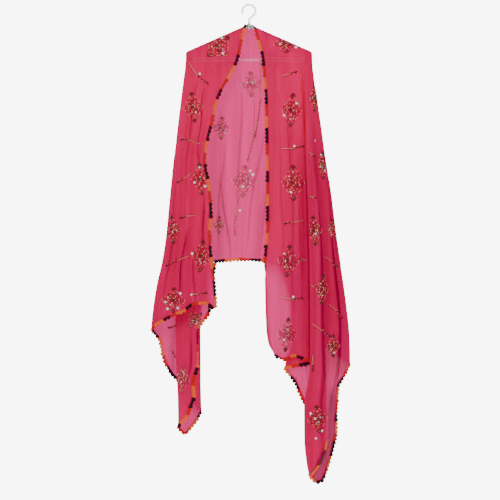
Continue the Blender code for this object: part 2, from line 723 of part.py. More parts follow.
def main():
    for thing in list(bpy.data.objects):
        bpy.data.objects.remove(thing, do_unlink=True)
    chiffon = new_material("chiffon", (0.80, 0.03, 0.10), 0.8)
    crochet = new_material("crochet", (0.75, 0.12, 0.03), 0.9)
    plastic = new_material("plastic", (0.88, 0.88, 0.86), 0.4)

    hanger(plastic)

    cloth("left_front", "left_front", "left_front", ("end",), chiffon)
    cloth("left_side", "left_a", "left_a", ("start", "end", "top"), chiffon)
    cloth("left_fold", "left_b", "left_b", ("start", "end", "top"), chiffon)
    cloth("left_inner", "left_c", "left_c", ("start", "end", "top"), chiffon)
    cloth("back_panel", "back", "back", ("start", "end", "top"), chiffon)
    cloth("right_inner", "right_c", "right_c", ("start", "end", "top"), chiffon)
    cloth("right_fold", "right_b", "right_b", ("start", "end", "top"), chiffon)
    cloth("right_side", "right_a", "right_a", ("start", "end", "top"), chiffon)
    cloth("right_outer", "right_outer", "right_outer", ("start", "end"), chiffon)
    cloth("right_pleat", "right_pleat", "right_pleat", ("start", "end"), chiffon)
    cloth("right_under", "right_under", "right_under", ("start", "end"), chiffon)
    cloth("right_return", "right_return", "right_return", ("start", "end"), chiffon)
    cloth("right_front", "right_front", "right_tuck", ("start",), chiffon)

    left_edge = ORDER["left_front"]
    left_free = ORDER["left_c"]
    right_edge = ORDER["right_tuck"]
    neck = ORDER["back"]
    back_hem = hem_drop(neck, 0.0)
    neck_steps = (0.5 + NECK_SHARE, 0.5, 0.5 - NECK_SHARE)
    edging([("edging_neck", [(neck, s, top_drop(neck, s)) for s in neck_steps])], crochet)
    edging([
        ("edging_left_front",
         arm_path(left_edge, 0.0, True) + side_path(left_edge, 0.0, True)),
        ("edging_left_hem", hem_path("left_front", "left_front")),
        ("edging_left_tail", hem_path("left_a", "left_b")),
        ("edging_left_tip", hem_path("left_c", "left_c")),
        ("edging_left_return",
         side_path(left_free, 1.0, False, back_hem) + [(neck, 0.0, back_hem)]),
        ("edging_back", hem_path("back", "back")),
        ("edging_right_back", hem_path("right_c", "right_a")),
        ("edging_right_outer", hem_path("right_outer", "right_outer")),
        ("edging_right_tail", hem_path("right_pleat", "right_under")),
        ("edging_right_hem", hem_path("right_return", "right_tuck")),
        ("edging_right_front",
         side_path(right_edge, 1.0, False) + arm_path(right_edge, 1.0, False)),
    ], crochet)


main()
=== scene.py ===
import math

import bpy
import numpy as np
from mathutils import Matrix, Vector
from mathutils.bvhtree import BVHTree


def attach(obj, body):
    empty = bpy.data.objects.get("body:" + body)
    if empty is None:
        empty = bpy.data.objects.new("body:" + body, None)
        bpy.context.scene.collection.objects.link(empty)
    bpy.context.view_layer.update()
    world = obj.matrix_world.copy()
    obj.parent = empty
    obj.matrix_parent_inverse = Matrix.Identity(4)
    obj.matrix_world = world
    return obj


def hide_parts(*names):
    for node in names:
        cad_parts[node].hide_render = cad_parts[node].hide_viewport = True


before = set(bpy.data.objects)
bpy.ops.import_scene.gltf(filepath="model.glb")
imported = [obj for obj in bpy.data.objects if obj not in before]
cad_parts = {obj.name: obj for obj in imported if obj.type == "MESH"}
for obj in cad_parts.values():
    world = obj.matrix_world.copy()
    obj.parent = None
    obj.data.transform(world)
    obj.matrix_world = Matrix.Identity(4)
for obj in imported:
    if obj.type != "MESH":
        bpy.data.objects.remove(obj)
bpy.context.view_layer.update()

MM = 0.001
PX = 3.6  # millimetres for each pixel of the photo's frame, at the cloth
FRAME_X, FRAME_Y = 249.0, 24.0  # the pixel of the hanger's middle, at its shoulder line
rng = np.random.default_rng(20)

# ---- the cloth's form, as in the solids, in millimetres
WALL = 1.2
TRIM_WIDTH = 8.5
SHOULDER_BELOW_RAIL = 65.0
ARM_SLOPE = 0.44
TUBE_RADIUS = 5.0
HOOK_RADIUS = 4.0
HOOK_INSIDE_RADIUS = 20.0
HOOK_NECK = 10.0
HOOK_SWEEP = math.radians(202)
ARM_START = 6.35
ARM_END = 196.0
STEM_FOOT = 20.0
BEND_X = 204.0
BEND_RADIUS = 13.5
ARM_FOOT = 6.0
BAR_DROP = 130.0
SEAM_GAP = 0.3
CHORD_SAG = 0.3
DRAPE_RADIUS = TUBE_RADIUS + SEAM_GAP + CHORD_SAG + WALL / 2
DRAPE_END = 217.0
DRAPE_CLOSE = 10.5
DRAPE_TIP = 1.0
NECK_SPREAD = 2.0
NECK_WIDTH = 14.0
NECK_SHARE = 0.055
OPENING_DROP = 750.0
SPLIT_DROP = 800.0
TUCK_WIDTH = 9.0
TUCK_ANGLE = math.radians(145)
TUCK_FROM = 780.0
TUCK_TO = 980.0
LEAST_OPENED = 0.5
FOLDS_FORMED = 200.0
FOLD_SWELL = 1.6
ROW_GROWTH = 1.15
TOP_ROWS = 92
LOW_ROWS = 64
OVER_ARM_STEPS = 10

# The lines that run down the cloth on each side: drops, and how far sideways each line is there. A line
# that ends early keeps its last value.
LEFT = {
    "drop": (0, 60, 130, 202, 274, 364, 454, 490, 566, 677, 742, 857, 940, 1027, 1105, 1210, 1300, 1354,
        1485),
    "edge": (-17, -31, -47, -84, -118, -139, -159, -163, -151, -140, -145, -139, -127, -123),
    "side": (-227, -227, -228, -236, -245, -256, -266, -271, -279, -290, -296, -313, -332, -346, -353,
        -353, -352, -350),
    "fold_a": (-219, -219, -220, -221, -215, -206, -197, -193, -184, -174, -169, -166, -166, -169, -176,
        -176, -176, -175, -172),
    "fold_b": (-214, -213, -214, -219, -226, -234, -241, -243, -248, -254, -258, -261, -263, -265, -265,
        -265, -261, -259, -257),
    "back": (-150, -150, -150, -150, -150, -148, -146, -144, -141, -136, -133, -126, -139, -145, -186,
        -186, -205, -201),
}
RIGHT = {
    "drop": (0, 60, 130, 202, 274, 364, 454, 634, 742, 857, 940, 1027, 1105, 1150, 1195, 1240, 1300, 1364,
        1485, 1573, 1645),
    "turn": (28, 48, 64, 70, 75, 77, 78, 80, 79, 68, 60, 62, 66, 74, 95),
    "under_r": (188, 188, 188, 189, 191, 197, 203, 216, 221, 226, 228, 230),
    "under_l": (191, 191, 191, 192, 194, 194, 190, 170, 160, 153, 150, 151, 151, 150, 138, 128),
    "pleat_in": (196, 196, 197, 199, 201, 208, 218, 250, 262, 270, 273, 275, 275, 275, 275, 275, 276, 277,
        279),
    "pleat_out": (201, 201, 202, 203, 204, 203, 202, 209, 212, 216, 217, 218, 218, 218, 218, 217, 209, 198,
        199, 207, 223),
    "side": (227, 227, 228, 235, 247, 260, 272, 299, 312, 328, 340, 351, 359, 361, 362, 362, 356, 352,
        360),
    "fold_a": (219, 219, 220, 221, 215, 207, 200, 188, 183, 180, 181, 184, 187, 188, 190),
    "fold_b": (214, 213, 214, 219, 226, 235, 243, 256, 262, 268, 274, 280, 285, 287, 289, 290),
    "back": (150, 150, 150, 150, 150, 142, 130, 90, 72, 58),
}
for lines in (LEFT, RIGHT):
    for name, values in lines.items():
        lines[name] = values + values[-1:] * (len(lines["drop"]) - len(values))
TABLES = {"left": LEFT, "right": RIGHT}
# Their depth, negative in front, and the radius of the turn there: + to the rear, - forward, 0 for none.
LINES = {
    "left edge": (-46, 0), "left side": (4, 20), "left fold_a": (58, -5),
    "left fold_b": (22, -4), "left back": (8, 0),
    "right back": (8, 0), "right fold_b": (22, 4), "right fold_a": (58, 5),
    "right side": (4, -20), "right pleat_out": (-60, 5), "right pleat_in": (-26, 5),
    "right under_l": (-14, -5), "right under_r": (-30, -5), "right turn": (-42, 0),
}
BOTH, START, END, NEITHER = "both", "start", "end", "neither"
# Each stretch of the cloth begins at the line where the last one ends:
# name, end line, round turns, fine columns, front or rear.
ROWS = (
    ("left_front", "left side", END, 60, "front"),
    ("left_a", "left fold_a", BOTH, 30, "rear"),
    ("left_b", "left fold_b", BOTH, 24, "rear"),
    ("left_c", "left back", START, 16, "rear"),
    ("back", "right back", NEITHER, 62, "rear"),
    ("right_c", "right fold_b", END, 40, "rear"),
    ("right_b", "right fold_a", BOTH, 18, "rear"),
    ("right_a", "right side", BOTH, 30, "rear"),
    ("right_outer", "right pleat_out", BOTH, 54, "front"),
    ("right_pleat", "right pleat_in", BOTH, 16, "front"),
    ("right_under", "right under_l", BOTH, 26, "front"),
    ("right_return", "right under_r", BOTH, 18, "front"),
    ("right_front", "right turn", START, 54, "front"),
    ("right_tuck", "right edge", NEITHER, 5, "front"),
)
STARTS = ("left edge",) + tuple(row[1] for row in ROWS)
STRETCHES = tuple((row[0], start, *row[1:]) for row, start in zip(ROWS, STARTS))
ORDER = {row[0]: i for i, row in enumerate(STRETCHES)}
# The hem of each stretch: shares of its width and the drops there.
HEMS = {
    "left_front": (
        (0, 0.07, 0.16, 0.39, 0.5, 0.6, 0.76, 0.92, 1),
        (1030, 1014, 1005, 1013, 1036, 1044, 1062, 1084, 1105),
    ),
    "left_a": (
        (0, 0.1, 0.19, 0.22, 0.31, 0.41, 0.52, 0.7, 1),
        (1105, 1127, 1150, 1192, 1238, 1271, 1289, 1330, 1405),
    ),
    "left_b": ((0, 0.1, 0.28, 0.49, 0.7, 0.87, 1), (1405, 1418, 1444, 1465, 1485, 1472, 1455)),
    "left_c": ((0, 0.19, 0.5, 0.8, 1), (1455, 1442, 1426, 1382, 1354)),
    "back": ((0, 0.5, 1), (861, 853, 858)),
    "right_c": ((0, 0.25, 0.32, 0.4, 0.45, 0.7, 1), (858, 872, 906, 950, 1001, 1050, 1084)),
    "right_b": ((0, 1), (1084, 1130)),
    "right_a": ((0, 0.5, 1), (1130, 1162, 1228)),
    "right_outer": (
        (0, 0.04, 0.11, 0.22, 0.28, 0.31, 0.4, 0.48, 0.58, 0.72, 0.86, 0.94, 1),
        (1228, 1238, 1256, 1289, 1308, 1470, 1530, 1570, 1606, 1639, 1645, 1632, 1616),
    ),
    "right_pleat": ((0, 0.1, 0.35, 0.63, 0.9, 1), (1616, 1609, 1598, 1555, 1507, 1498)),
    "right_under": (
        (0, 0.1, 0.22, 0.37, 0.54, 0.73, 0.92, 1),
        (1498, 1480, 1451, 1418, 1357, 1292, 1258, 1243),
    ),
    "right_return": ((0, 0.4, 0.7, 1), (1243, 1233, 1229, 1218)),
    "right_front": ((0, 0.4, 0.53, 0.68, 0.8, 1), (1218, 1199, 1194, 1205, 1210, 1196)),
    "right_tuck": ((0, 1), (1196, 1190)),
}
EXTRA_SHARES = {
    "left_a": (0.19, 0.23), "right_outer": (0.28, 0.32), "back": (0.5 - NECK_SHARE, 0.5 + NECK_SHARE),
}
# Soft folds of the solids, by stretch: share at the top and foot, width, depth, first and last drop.
FOLDS = {
    "left_front": (
        (0.16, 0.2, 0.06, -7.0, 200, 700), (0.3, 0.34, 0.07, 7.0, 150, 1000),
        (0.5, 0.52, 0.08, -9.0, 350, 1150), (0.62, 0.72, 0.07, 7.0, 500, 1150),
    ),
    "back": (
        (0.2, 0.16, 0.05, 5.0, 200, 900), (0.36, 0.38, 0.06, -5.0, 300, 900),
        (0.55, 0.6, 0.055, 5.0, 250, 900), (0.78, 0.8, 0.05, -4.0, 350, 900),
    ),
    "right_c": ((0.35, 0.35, 0.09, 7.0, 400, 1000),),
    "right_front": ((0.3, 0.35, 0.08, -6.0, 250, 1150), (0.62, 0.6, 0.08, 6.0, 400, 1150),),
    "right_outer": ((0.34, 0.4, 0.08, 7.0, 400, 1400), (0.62, 0.66, 0.07, -6.0, 500, 1500),),
}
# Finer ripples all over the sheet: wave length, height, sideways drift for each mm down, phase.
RIPPLES = (
    (104, 2.3, -0.050, 1.9),
    (67, 1.9, 0.035, 0.4),
    (41, 1.2, -0.020, 4.1),
    (26, 0.6, 0.045, 2.7),
)
# Narrow creases, by stretch: share at the top and foot, half width, depth, first and last drop.
CREASES = {
    "left_front": (
        (0.4, 0.1, 5, -7.5, 230, 520), (0.62, 0.46, 5, -5.0, 170, 640), (0.1, 0.16, 5, -6.5, 600, 860),
        (0.48, 0.56, 5, -8.0, 740, 1040), (0.66, 0.62, 6, 4.5, 240, 900), (0.34, 0.3, 4, -5.5, 800, 1030),
        (0.24, 0.22, 6, 4.0, 500, 1000), (0.8, 0.76, 5, -5.0, 560, 1020),
    ),
    "left_b": ((0.45, 0.55, 5, -8.0, 760, 1400),),
    "left_a": ((0.6, 0.5, 6, -6.0, 500, 1300), (0.3, 0.36, 6, 4.0, 260, 900),),
    "left_c": ((0.5, 0.42, 6, 4.5, 700, 1380), (0.74, 0.66, 5, -6.0, 860, 1400),),
    "back": (
        (0.14, 0.34, 6, -6.0, 560, 856), (0.22, 0.08, 5, -5.0, 400, 850), (0.4, 0.44, 6, -4.0, 160, 700),
        (0.5, 0.54, 8, 4.5, 260, 850), (0.7, 0.62, 5, -5.0, 380, 850), (0.86, 0.89, 6, -5.0, 200, 850),
    ),
    "right_c": ((0.55, 0.5, 7, -5.0, 300, 900),),
    "right_a": ((0.5, 0.44, 6, -6.0, 320, 1120), (0.24, 0.3, 6, 4.0, 200, 800),),
    "right_front": (
        (0.2, 0.17, 6, 4.0, 380, 1150), (0.33, 0.27, 4, -3.0, 560, 1000),
        (0.52, 0.42, 5, -3.6, 240, 1060), (0.76, 0.72, 5, -3.0, 420, 900),
    ),
    "right_under": ((0.5, 0.46, 6, -6.0, 700, 1300),),
    "right_outer": (
        (0.12, 0.18, 5, -5.0, 340, 900), (0.24, 0.44, 5, -9.0, 560, 1400), (0.5, 0.56, 5, 5.0, 300, 1300),
        (0.7, 0.72, 5, -7.0, 460, 1560), (0.88, 0.88, 5, 4.0, 600, 1500),
    ),
}
RIPPLE_SWAY, SWAY_WAVES = 0.7, 3.1  # how much a ripple wanders, and over how many of its wave lengths
RIPPLE_UNEVEN, UNEVEN_WAVES = 0.4, 2.7  # how much its height varies, and over how many wave lengths
RIPPLES_FORMED = 380.0  # how far the cloth falls before its ripples are full
CREASE_SWAY = 3.0  # how far a crease wanders sideways
DARK_SHARE = 0.6  # the painted shade line of a crease, as a share of the crease's width
FULLY_DARK = 8.0  # the depth of a crease whose painted shade line is fully dark
SHADE_FADE = 60.0  # the drop over which a painted shade begins or ends
# The painted shadow line of the overlap: its drops, strength, distance from the fold and half width.
OVERLAP_FROM, OVERLAP_TO = 430.0, 1330.0
OVERLAP_DARK, OVERLAP_BESIDE, OVERLAP_WIDTH = 0.5, 2.4, 2.6
# The inner edge of the strip and flap on the right side's outer cloth, and how dark the painted shade makes
# them.
FLAP_DROPS, FLAP_X = (1290, 1487, 1609), (281, 277, 220)
FLAP_DARK, FLAP_FADE = 0.7, 6.0
BAR_RIDGE, BAR_RIDGE_WIDTH = 2.0, 7.0  # over the hanger's lower bar


def part_of(length, whole):
    return np.clip(length / whole, 0, 1)


def bell(distance, width):
    return np.exp(-(distance / width) ** 2)


def follow(lines, name, drop):
    """A smooth reading of a line, which doesn't swing past its own values."""
    drops, values = lines["drop"], lines[name]
    chords = np.diff(values) / np.diff(drops)
    drop = min(drop, drops[-1])
    i = max(int(np.searchsorted(drops, drop)) - 1, 0)
    slopes = []
    for k in (i, i + 1):
        before, after = chords[max(k - 1, 0)], chords[min(k, len(chords) - 1)]
        slopes.append(0.0 if before * after <= 0 else 2 * before * after / (before + after))
    span = drops[i + 1] - drops[i]
    t = (drop - drops[i]) / span
    a, b = slopes[0] * span, slopes[1] * span
    rise = values[i + 1] - values[i]
    return values[i] + t * (a + t * (3 * rise - 2 * a - b + t * (a + b - 2 * rise)))


DENSE = np.arange(0.0, 1700.0, 2.0)
DENSE_X = {side + " " + name: np.array([follow(lines, name, d) for d in DENSE])
           for side, lines in TABLES.items() for name in lines if name != "drop"}


def rolled_edge(share, drop):
    x = np.interp(drop, DENSE, DENSE_X["right turn"])
    rolled = part_of(drop - TUCK_FROM, TUCK_TO - TUCK_FROM)
    angle = np.maximum(TUCK_ANGLE * rolled * rolled * (3 - 2 * rolled), 0.001)
    radius = TUCK_WIDTH / angle
    depth = LINES["right turn"][0] + radius * (1 - np.cos(angle * share))
    return x - radius * np.sin(angle * share), depth


def line_place(line, drop):
    return np.interp(drop, DENSE, DENSE_X[line]), LINES[line][0]


def across(turns, s):
    if turns == BOTH:
        return (1 - np.cos(math.pi * s)) / 2
    if turns == END:
        return np.sin(math.pi * s / 2)
    if turns == START:
        return 1 - np.cos(math.pi * s / 2)
    return s


def sideways(stretch, s, drop):
    name, start, end, turns, _, _ = STRETCHES[stretch]
    if name == "right_tuck":
        return rolled_edge(s, drop)[0]
    share = across(turns, s)
    if "side" not in start + end:
        share = s + (share - s) * np.minimum(drop / FOLDS_FORMED, 1.0)
    x0, _ = line_place(start, drop)
    x1, _ = line_place(end, drop)
    return x0 + (x1 - x0) * share


def full_depth(stretch, s, drop, opened):
    name, start, end, turns, _, _ = STRETCHES[stretch]
    if name == "right_tuck":
        return rolled_edge(s, drop)[1]
    x0, depth0 = line_place(start, drop)
    x1, depth1 = line_place(end, drop)
    bend = math.pi ** 2 / 2 if turns == BOTH else math.pi ** 2 / 4
    bend = np.abs(x1 - x0) * bend / np.maximum(opened, LEAST_OPENED)
    slopes = []
    for line in (start, end):
        radius = LINES[line][1]
        slopes.append(math.copysign(1, radius) * np.sqrt(abs(radius) * bend))
    rise = depth1 - depth0
    a, b = slopes
    return depth0 + s * (a + s * (3 * rise - 2 * a - b + s * (a + b - 2 * rise)))


def arm_drop(x):
    lift = (DRAPE_RADIUS + WALL / 2) * math.hypot(1, ARM_SLOPE)
    return lift + ARM_SLOPE * np.abs(x)


def drape_radius(x):
    past = part_of(np.abs(x) - DRAPE_END, DRAPE_CLOSE)
    closing = DRAPE_TIP + (DRAPE_RADIUS - DRAPE_TIP) * np.sqrt(1 - past * past)
    return closing + NECK_SPREAD * bell(x, NECK_WIDTH)


def top_drop(stretch, s):
    drop = 0.0 * s
    for _ in range(13):
        drop = arm_drop(sideways(stretch, s, drop))
    return drop


def hem_drop(stretch, s):
    name, _, _, turns, _, _ = STRETCHES[stretch]
    return np.interp(across(turns, s), *HEMS[name]) - TRIM_WIDTH


def fold_depth(stretch, share, drop):
    total = np.zeros(np.broadcast(share, drop).shape)
    for top, foot, width, depth, first, last in FOLDS.get(STRETCHES[stretch][0], ()):
        along = part_of(drop - first, last - first)
        middle = top + (foot - top) * along
        swell = np.sin(math.pi / 2 * np.minimum(along * FOLD_SWELL, 1.0))
        total = total + depth * swell * bell(share - middle, width)
    return total


def point(stretch, s, drop, top):
    """Points of the sheet's middle surface, in millimetres."""
    turns, side = STRETCHES[stretch][3], STRETCHES[stretch][5]
    fallen = part_of(drop - top, OPENING_DROP)
    opened = 1 - (1 - fallen) ** 2
    full = full_depth(stretch, s, drop, opened) + fold_depth(stretch, across(turns, s), drop)
    start_depth = drape_radius(sideways(stretch, s, top)) * (-1 if side == "front" else 1)
    y = start_depth + (full - start_depth) * opened
    x = sideways(stretch, s, drop)
    return np.stack((x, y, -SHOULDER_BELOW_RAIL - drop), axis=-1)


def over_arm(stretch, s, angle, top):
    x = sideways(stretch, s, top)
    radius = drape_radius(x)
    rise = radius * np.sin(angle) * math.hypot(1, ARM_SLOPE)
    return np.stack((x + 0 * angle, -radius * np.cos(angle), -SHOULDER_BELOW_RAIL - top + rise), axis=-1)


def fine_columns(stretch):
    name, _, _, turns, count, _ = STRETCHES[stretch]
    steps = [i / count for i in range(count + 1)]
    for share in EXTRA_SHARES.get(name, ()):
        extra = math.acos(1 - 2 * share) / math.pi if turns == BOTH else share
        steps[min(range(1, count), key=lambda i: abs(steps[i] - extra))] = extra
    return np.array(sorted(steps))


# ---- the sheet
positions = []  # one row for each welded point
fall_of = []  # how far each point has fallen below the arm
column_of = []  # its place round the sheet, in millimetres
ids = {}  # name: array of point numbers, rows by columns
arm_ids = {}
start_at = 0.0


def distances(points):
    """How far along a line each of its points is."""
    return np.concatenate(((0.0,), np.cumsum(np.linalg.norm(np.diff(points, axis=0), axis=-1))))


def add_points(number, points, fallen, place):
    """Add the points that have no number yet, and number them."""
    fresh = number < 0
    number[fresh] = np.arange(fresh.sum()) + len(positions)
    positions.extend(points[fresh])
    fall_of.extend(np.broadcast_to(fallen, number.shape)[fresh])
    column_of.extend(np.broadcast_to(place, number.shape)[fresh])


for stretch, (name, *_, side) in enumerate(STRETCHES):
    s = fine_columns(stretch)[None, :]
    top = top_drop(stretch, s)
    foot = hem_drop(stretch, s)
    k = np.arange(TOP_ROWS + 1)[:, None] / TOP_ROWS
    upper = top + (SPLIT_DROP - top) * k ** ROW_GROWTH
    k = np.arange(1, LOW_ROWS + 1)[:, None] / LOW_ROWS
    drops = np.concatenate((upper, SPLIT_DROP + (foot - SPLIT_DROP) * k))
    grid = point(stretch, s, drops, top)
    place = start_at + distances(grid[TOP_ROWS * 4 // 5])
    start_at = place[-1]
    neighbour = STRETCHES[stretch - 1][0]
    number = np.full(grid.shape[:2], -1)
    if stretch > 0:
        shared = TOP_ROWS + 1 if name == "back" else grid.shape[0]
        number[:shared, 0] = ids[neighbour][:shared, -1]
    add_points(number, grid, drops - top, place)
    ids[name] = number
    if side == "front":
        angle = (np.arange(OVER_ARM_STEPS, 0, -1) * math.pi / OVER_ARM_STEPS)[:, None]
        cap = over_arm(stretch, s, angle, top)
        above = np.full(cap.shape[:2], -1)
        if neighbour in arm_ids:
            above[:, 0] = arm_ids[neighbour][:, -1]
        add_points(above, cap, 0.0, place)
        arm_ids[name] = above

positions = np.array(positions)
fall_of = np.array(fall_of)
column_of = np.array(column_of)
faces = []
face_stretch = []
for name, stretch in ORDER.items():
    rows = np.concatenate((arm_ids[name], ids[name])) if name in arm_ids else ids[name]
    a, b, c, d = rows[:-1, :-1], rows[:-1, 1:], rows[1:, 1:], rows[1:, :-1]
    quads = np.stack((a, d, c, b), axis=-1).reshape(-1, 4)
    faces.extend(quads.tolist())
    face_stretch.extend([stretch] * len(quads))


def add_object(name, data):
    thing = bpy.data.objects.new(name, data)
    bpy.context.scene.collection.objects.link(thing)
    return thing


def mesh_of(name, vertices, polygons):
    mesh = bpy.data.meshes.new(name)
    mesh.from_pydata([tuple(v) for v in vertices], [], polygons)
    mesh.update()
    return mesh


def mesh_object(name, vertices, polygons, materials):
    mesh = mesh_of(name, np.asarray(vertices) * MM, polygons)
    mesh.shade_smooth()
    for material in materials:
        mesh.materials.append(material)
    thing = add_object(name, mesh)
    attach(thing, "root")
    return thing


def vertex_normals(vertices, polygons):
    mesh = mesh_of("scratch", vertices, polygons)
    found = np.zeros(len(vertices) * 3)
    mesh.vertices.foreach_get("normal", found)
    bpy.data.meshes.remove(mesh)
    return found.reshape(-1, 3)


normals = vertex_normals(positions, faces)
rise = np.zeros(len(positions))
for wave, height, drift, phase in RIPPLES:
    sway = RIPPLE_SWAY * np.sin(fall_of / (wave * SWAY_WAVES) + phase)
    uneven = 0.6 + RIPPLE_UNEVEN * np.sin(column_of / (wave * UNEVEN_WAVES) + phase * 2)
    turn = 2 * math.pi * (column_of + drift * fall_of) / wave + phase + sway
    rise += height * uneven * (0.6 - np.abs(np.sin(turn / 2)) ** 0.8 * 1.15)
rise *= part_of(fall_of, RIPPLES_FORMED)
drop_of = -positions[:, 2] - SHOULDER_BELOW_RAIL
painted_shade = np.zeros(len(positions))  # painted shade where the cloth is doubled, in creases and folds, which darkens its colour
for name, creases in CREASES.items():
    number = ids[name]
    at = column_of[number]
    begin, end = at[:, :1], at[:, -1:]
    for top, foot, width, depth, first, last in creases:
        along = part_of(drop_of[number] - first, last - first)
        middle = begin + (end - begin) * (top + (foot - top) * along)
        middle = middle + CREASE_SWAY * np.sin(along * 9.0 + depth * 5)
        inside = np.sin(math.pi * along) ** 0.6
        rise[number] += depth * inside * bell(at - middle, width)
        # A crease that sinks in gets a line of painted shade along its middle.
        if depth < 0:
            dark = bell(at - middle, width * DARK_SHARE)
            painted_shade[number] += -depth / FULLY_DARK * inside * dark
# The right side's fold lies over the right front; a painted shadow darkens a line along its edge.
for name in ("right_front", "right_outer"):
    number = ids[name]
    drop = drop_of[number]
    beside = positions[number][..., 0] - np.interp(drop, DENSE, DENSE_X["right pleat_out"])
    seen = part_of(drop - OVERLAP_FROM, SHADE_FADE) * part_of(OVERLAP_TO - drop, SHADE_FADE)
    painted_shade[number] += OVERLAP_DARK * seen * bell(beside + OVERLAP_BESIDE, OVERLAP_WIDTH)
# Beside the right tail and in the flap at its tip the cloth is folded on itself, and painted shade darkens
# it there.
number = ids["right_outer"]
drop = drop_of[number]
flap = positions[number][..., 0] - np.interp(drop, FLAP_DROPS, FLAP_X)
seen = part_of(flap, FLAP_FADE) * part_of(drop - FLAP_DROPS[0], SHADE_FADE)
painted_shade[number] += FLAP_DARK * seen
# The cloth stands out where it lies against the hanger's lower bar.
for name in ("left_front", "right_front", "right_outer"):
    number = ids[name]
    near = bell(drop_of[number] - BAR_DROP, BAR_RIDGE_WIDTH)
    rise[number] += BAR_RIDGE * near * (np.abs(positions[number][..., 0]) < BEND_X)
positions = positions + normals * rise[:, None]
normals = vertex_normals(positions, faces)


# ---- materials
def shader_of(name, colour, roughness, inputs):
    """A material, its nodes and its shader, with constants for the shader's inputs."""
    material = bpy.data.materials.new(name)
    material.use_nodes = True
    shader = material.node_tree.nodes["Principled BSDF"]
    constants = {"Base Color": (*colour, 1), "Roughness": roughness, "Sheen Roughness": 0.4,
                 "Specular IOR Level": 0.25, **inputs}
    for socket, value in constants.items():
        shader.inputs[socket].default_value = value
    return material, material.node_tree, shader


def add_node(tree, kind, inputs):
    """A shader node, with a link or a constant for each input."""
    node = tree.nodes.new("ShaderNode" + kind)
    for socket, value in inputs.items():
        if isinstance(value, bpy.types.NodeSocket):
            tree.links.new(value, node.inputs[socket])
        else:
            node.inputs[socket].default_value = value
    return node


def noise(tree, scale, stretch=(1, 1, 1), detail=3.0):
    """A noise over the object's own coordinates."""
    place = add_node(tree, "TexCoord", {}).outputs["Object"]
    place = add_node(tree, "Mapping", {"Vector": place, "Scale": stretch}).outputs["Vector"]
    return add_node(tree, "TexNoise", {"Vector": place, "Scale": scale, "Detail": detail}).outputs["Fac"]


def ramp_of(tree, factor, dark, light):
    """A colour that runs from dark to light with a factor."""
    ramp = add_node(tree, "ValToRGB", {"Fac": factor})
    for element, position, colour in zip(ramp.color_ramp.elements, (0.3, 0.7), (dark, light)):
        element.position = position
        element.color = (*colour, 1)
    return ramp.outputs["Color"]


def vary(tree, shader, factor, dark, light):
    """Run the base colour from dark to light with a factor."""
    tree.links.new(ramp_of(tree, factor, dark, light), shader.inputs["Base Color"])


def arithmetic(tree, operation, value, other=0.0):
    """A number from a link and another link or a constant."""
    node = add_node(tree, "Math", {0: value, 1: other})
    node.operation = operation
    return node.outputs["Value"]


def mix_colours(tree, factor, colour, other):
    mix = tree.nodes.new("ShaderNodeMix")
    mix.data_type = "RGBA"
    tree.links.new(factor, mix.inputs[0])
    tree.links.new(colour, mix.inputs[6])
    mix.inputs[7].default_value = (*other, 1)
    return mix.outputs[2]


def bump(tree, shader, heights, strength, distance):
    """Add heights into one bump."""
    total = heights[0]
    for other in heights[1:]:
        total = arithmetic(tree, "ADD", total, other)
    node = add_node(tree, "Bump", {"Height": total, "Strength": strength, "Distance": distance})
    tree.links.new(node.outputs["Normal"], shader.inputs["Normal"])


def painted_bar_lines(tree):
    """How much painted light marks the two edges of the hanger's lower bar, where they show through the
    cloth: BAR_SHOWS there, else 0.
    """
    place = add_node(tree, "TexCoord", {}).outputs["Object"]
    split = add_node(tree, "SeparateXYZ", {"Vector": place})
    below = arithmetic(tree, "ADD", split.outputs["Z"], (SHOULDER_BELOW_RAIL + BAR_DROP) * MM)
    from_axis = arithmetic(tree, "ABSOLUTE", below)
    from_edge = arithmetic(tree, "ABSOLUTE", arithmetic(tree, "SUBTRACT", from_axis, TUBE_RADIUS * MM))
    line = arithmetic(tree, "LESS_THAN", from_edge, BAR_LINE * MM)
    reach = arithmetic(tree, "LESS_THAN", arithmetic(tree, "ABSOLUTE", split.outputs["X"]), BEND_X * MM)
    return arithmetic(tree, "MULTIPLY", arithmetic(tree, "MULTIPLY", line, reach), BAR_SHOWS)


PAINTED_SHADE_NAME = "painted_shade"  # the name of the cloth's painted shade, in its creases and folds
BAR_LINE = 0.9  # half the width of a painted light line where the bar shows through the cloth
BAR_SHOWS = 0.6
THROUGH = 0.40  # the share of the cloth's light that comes through it


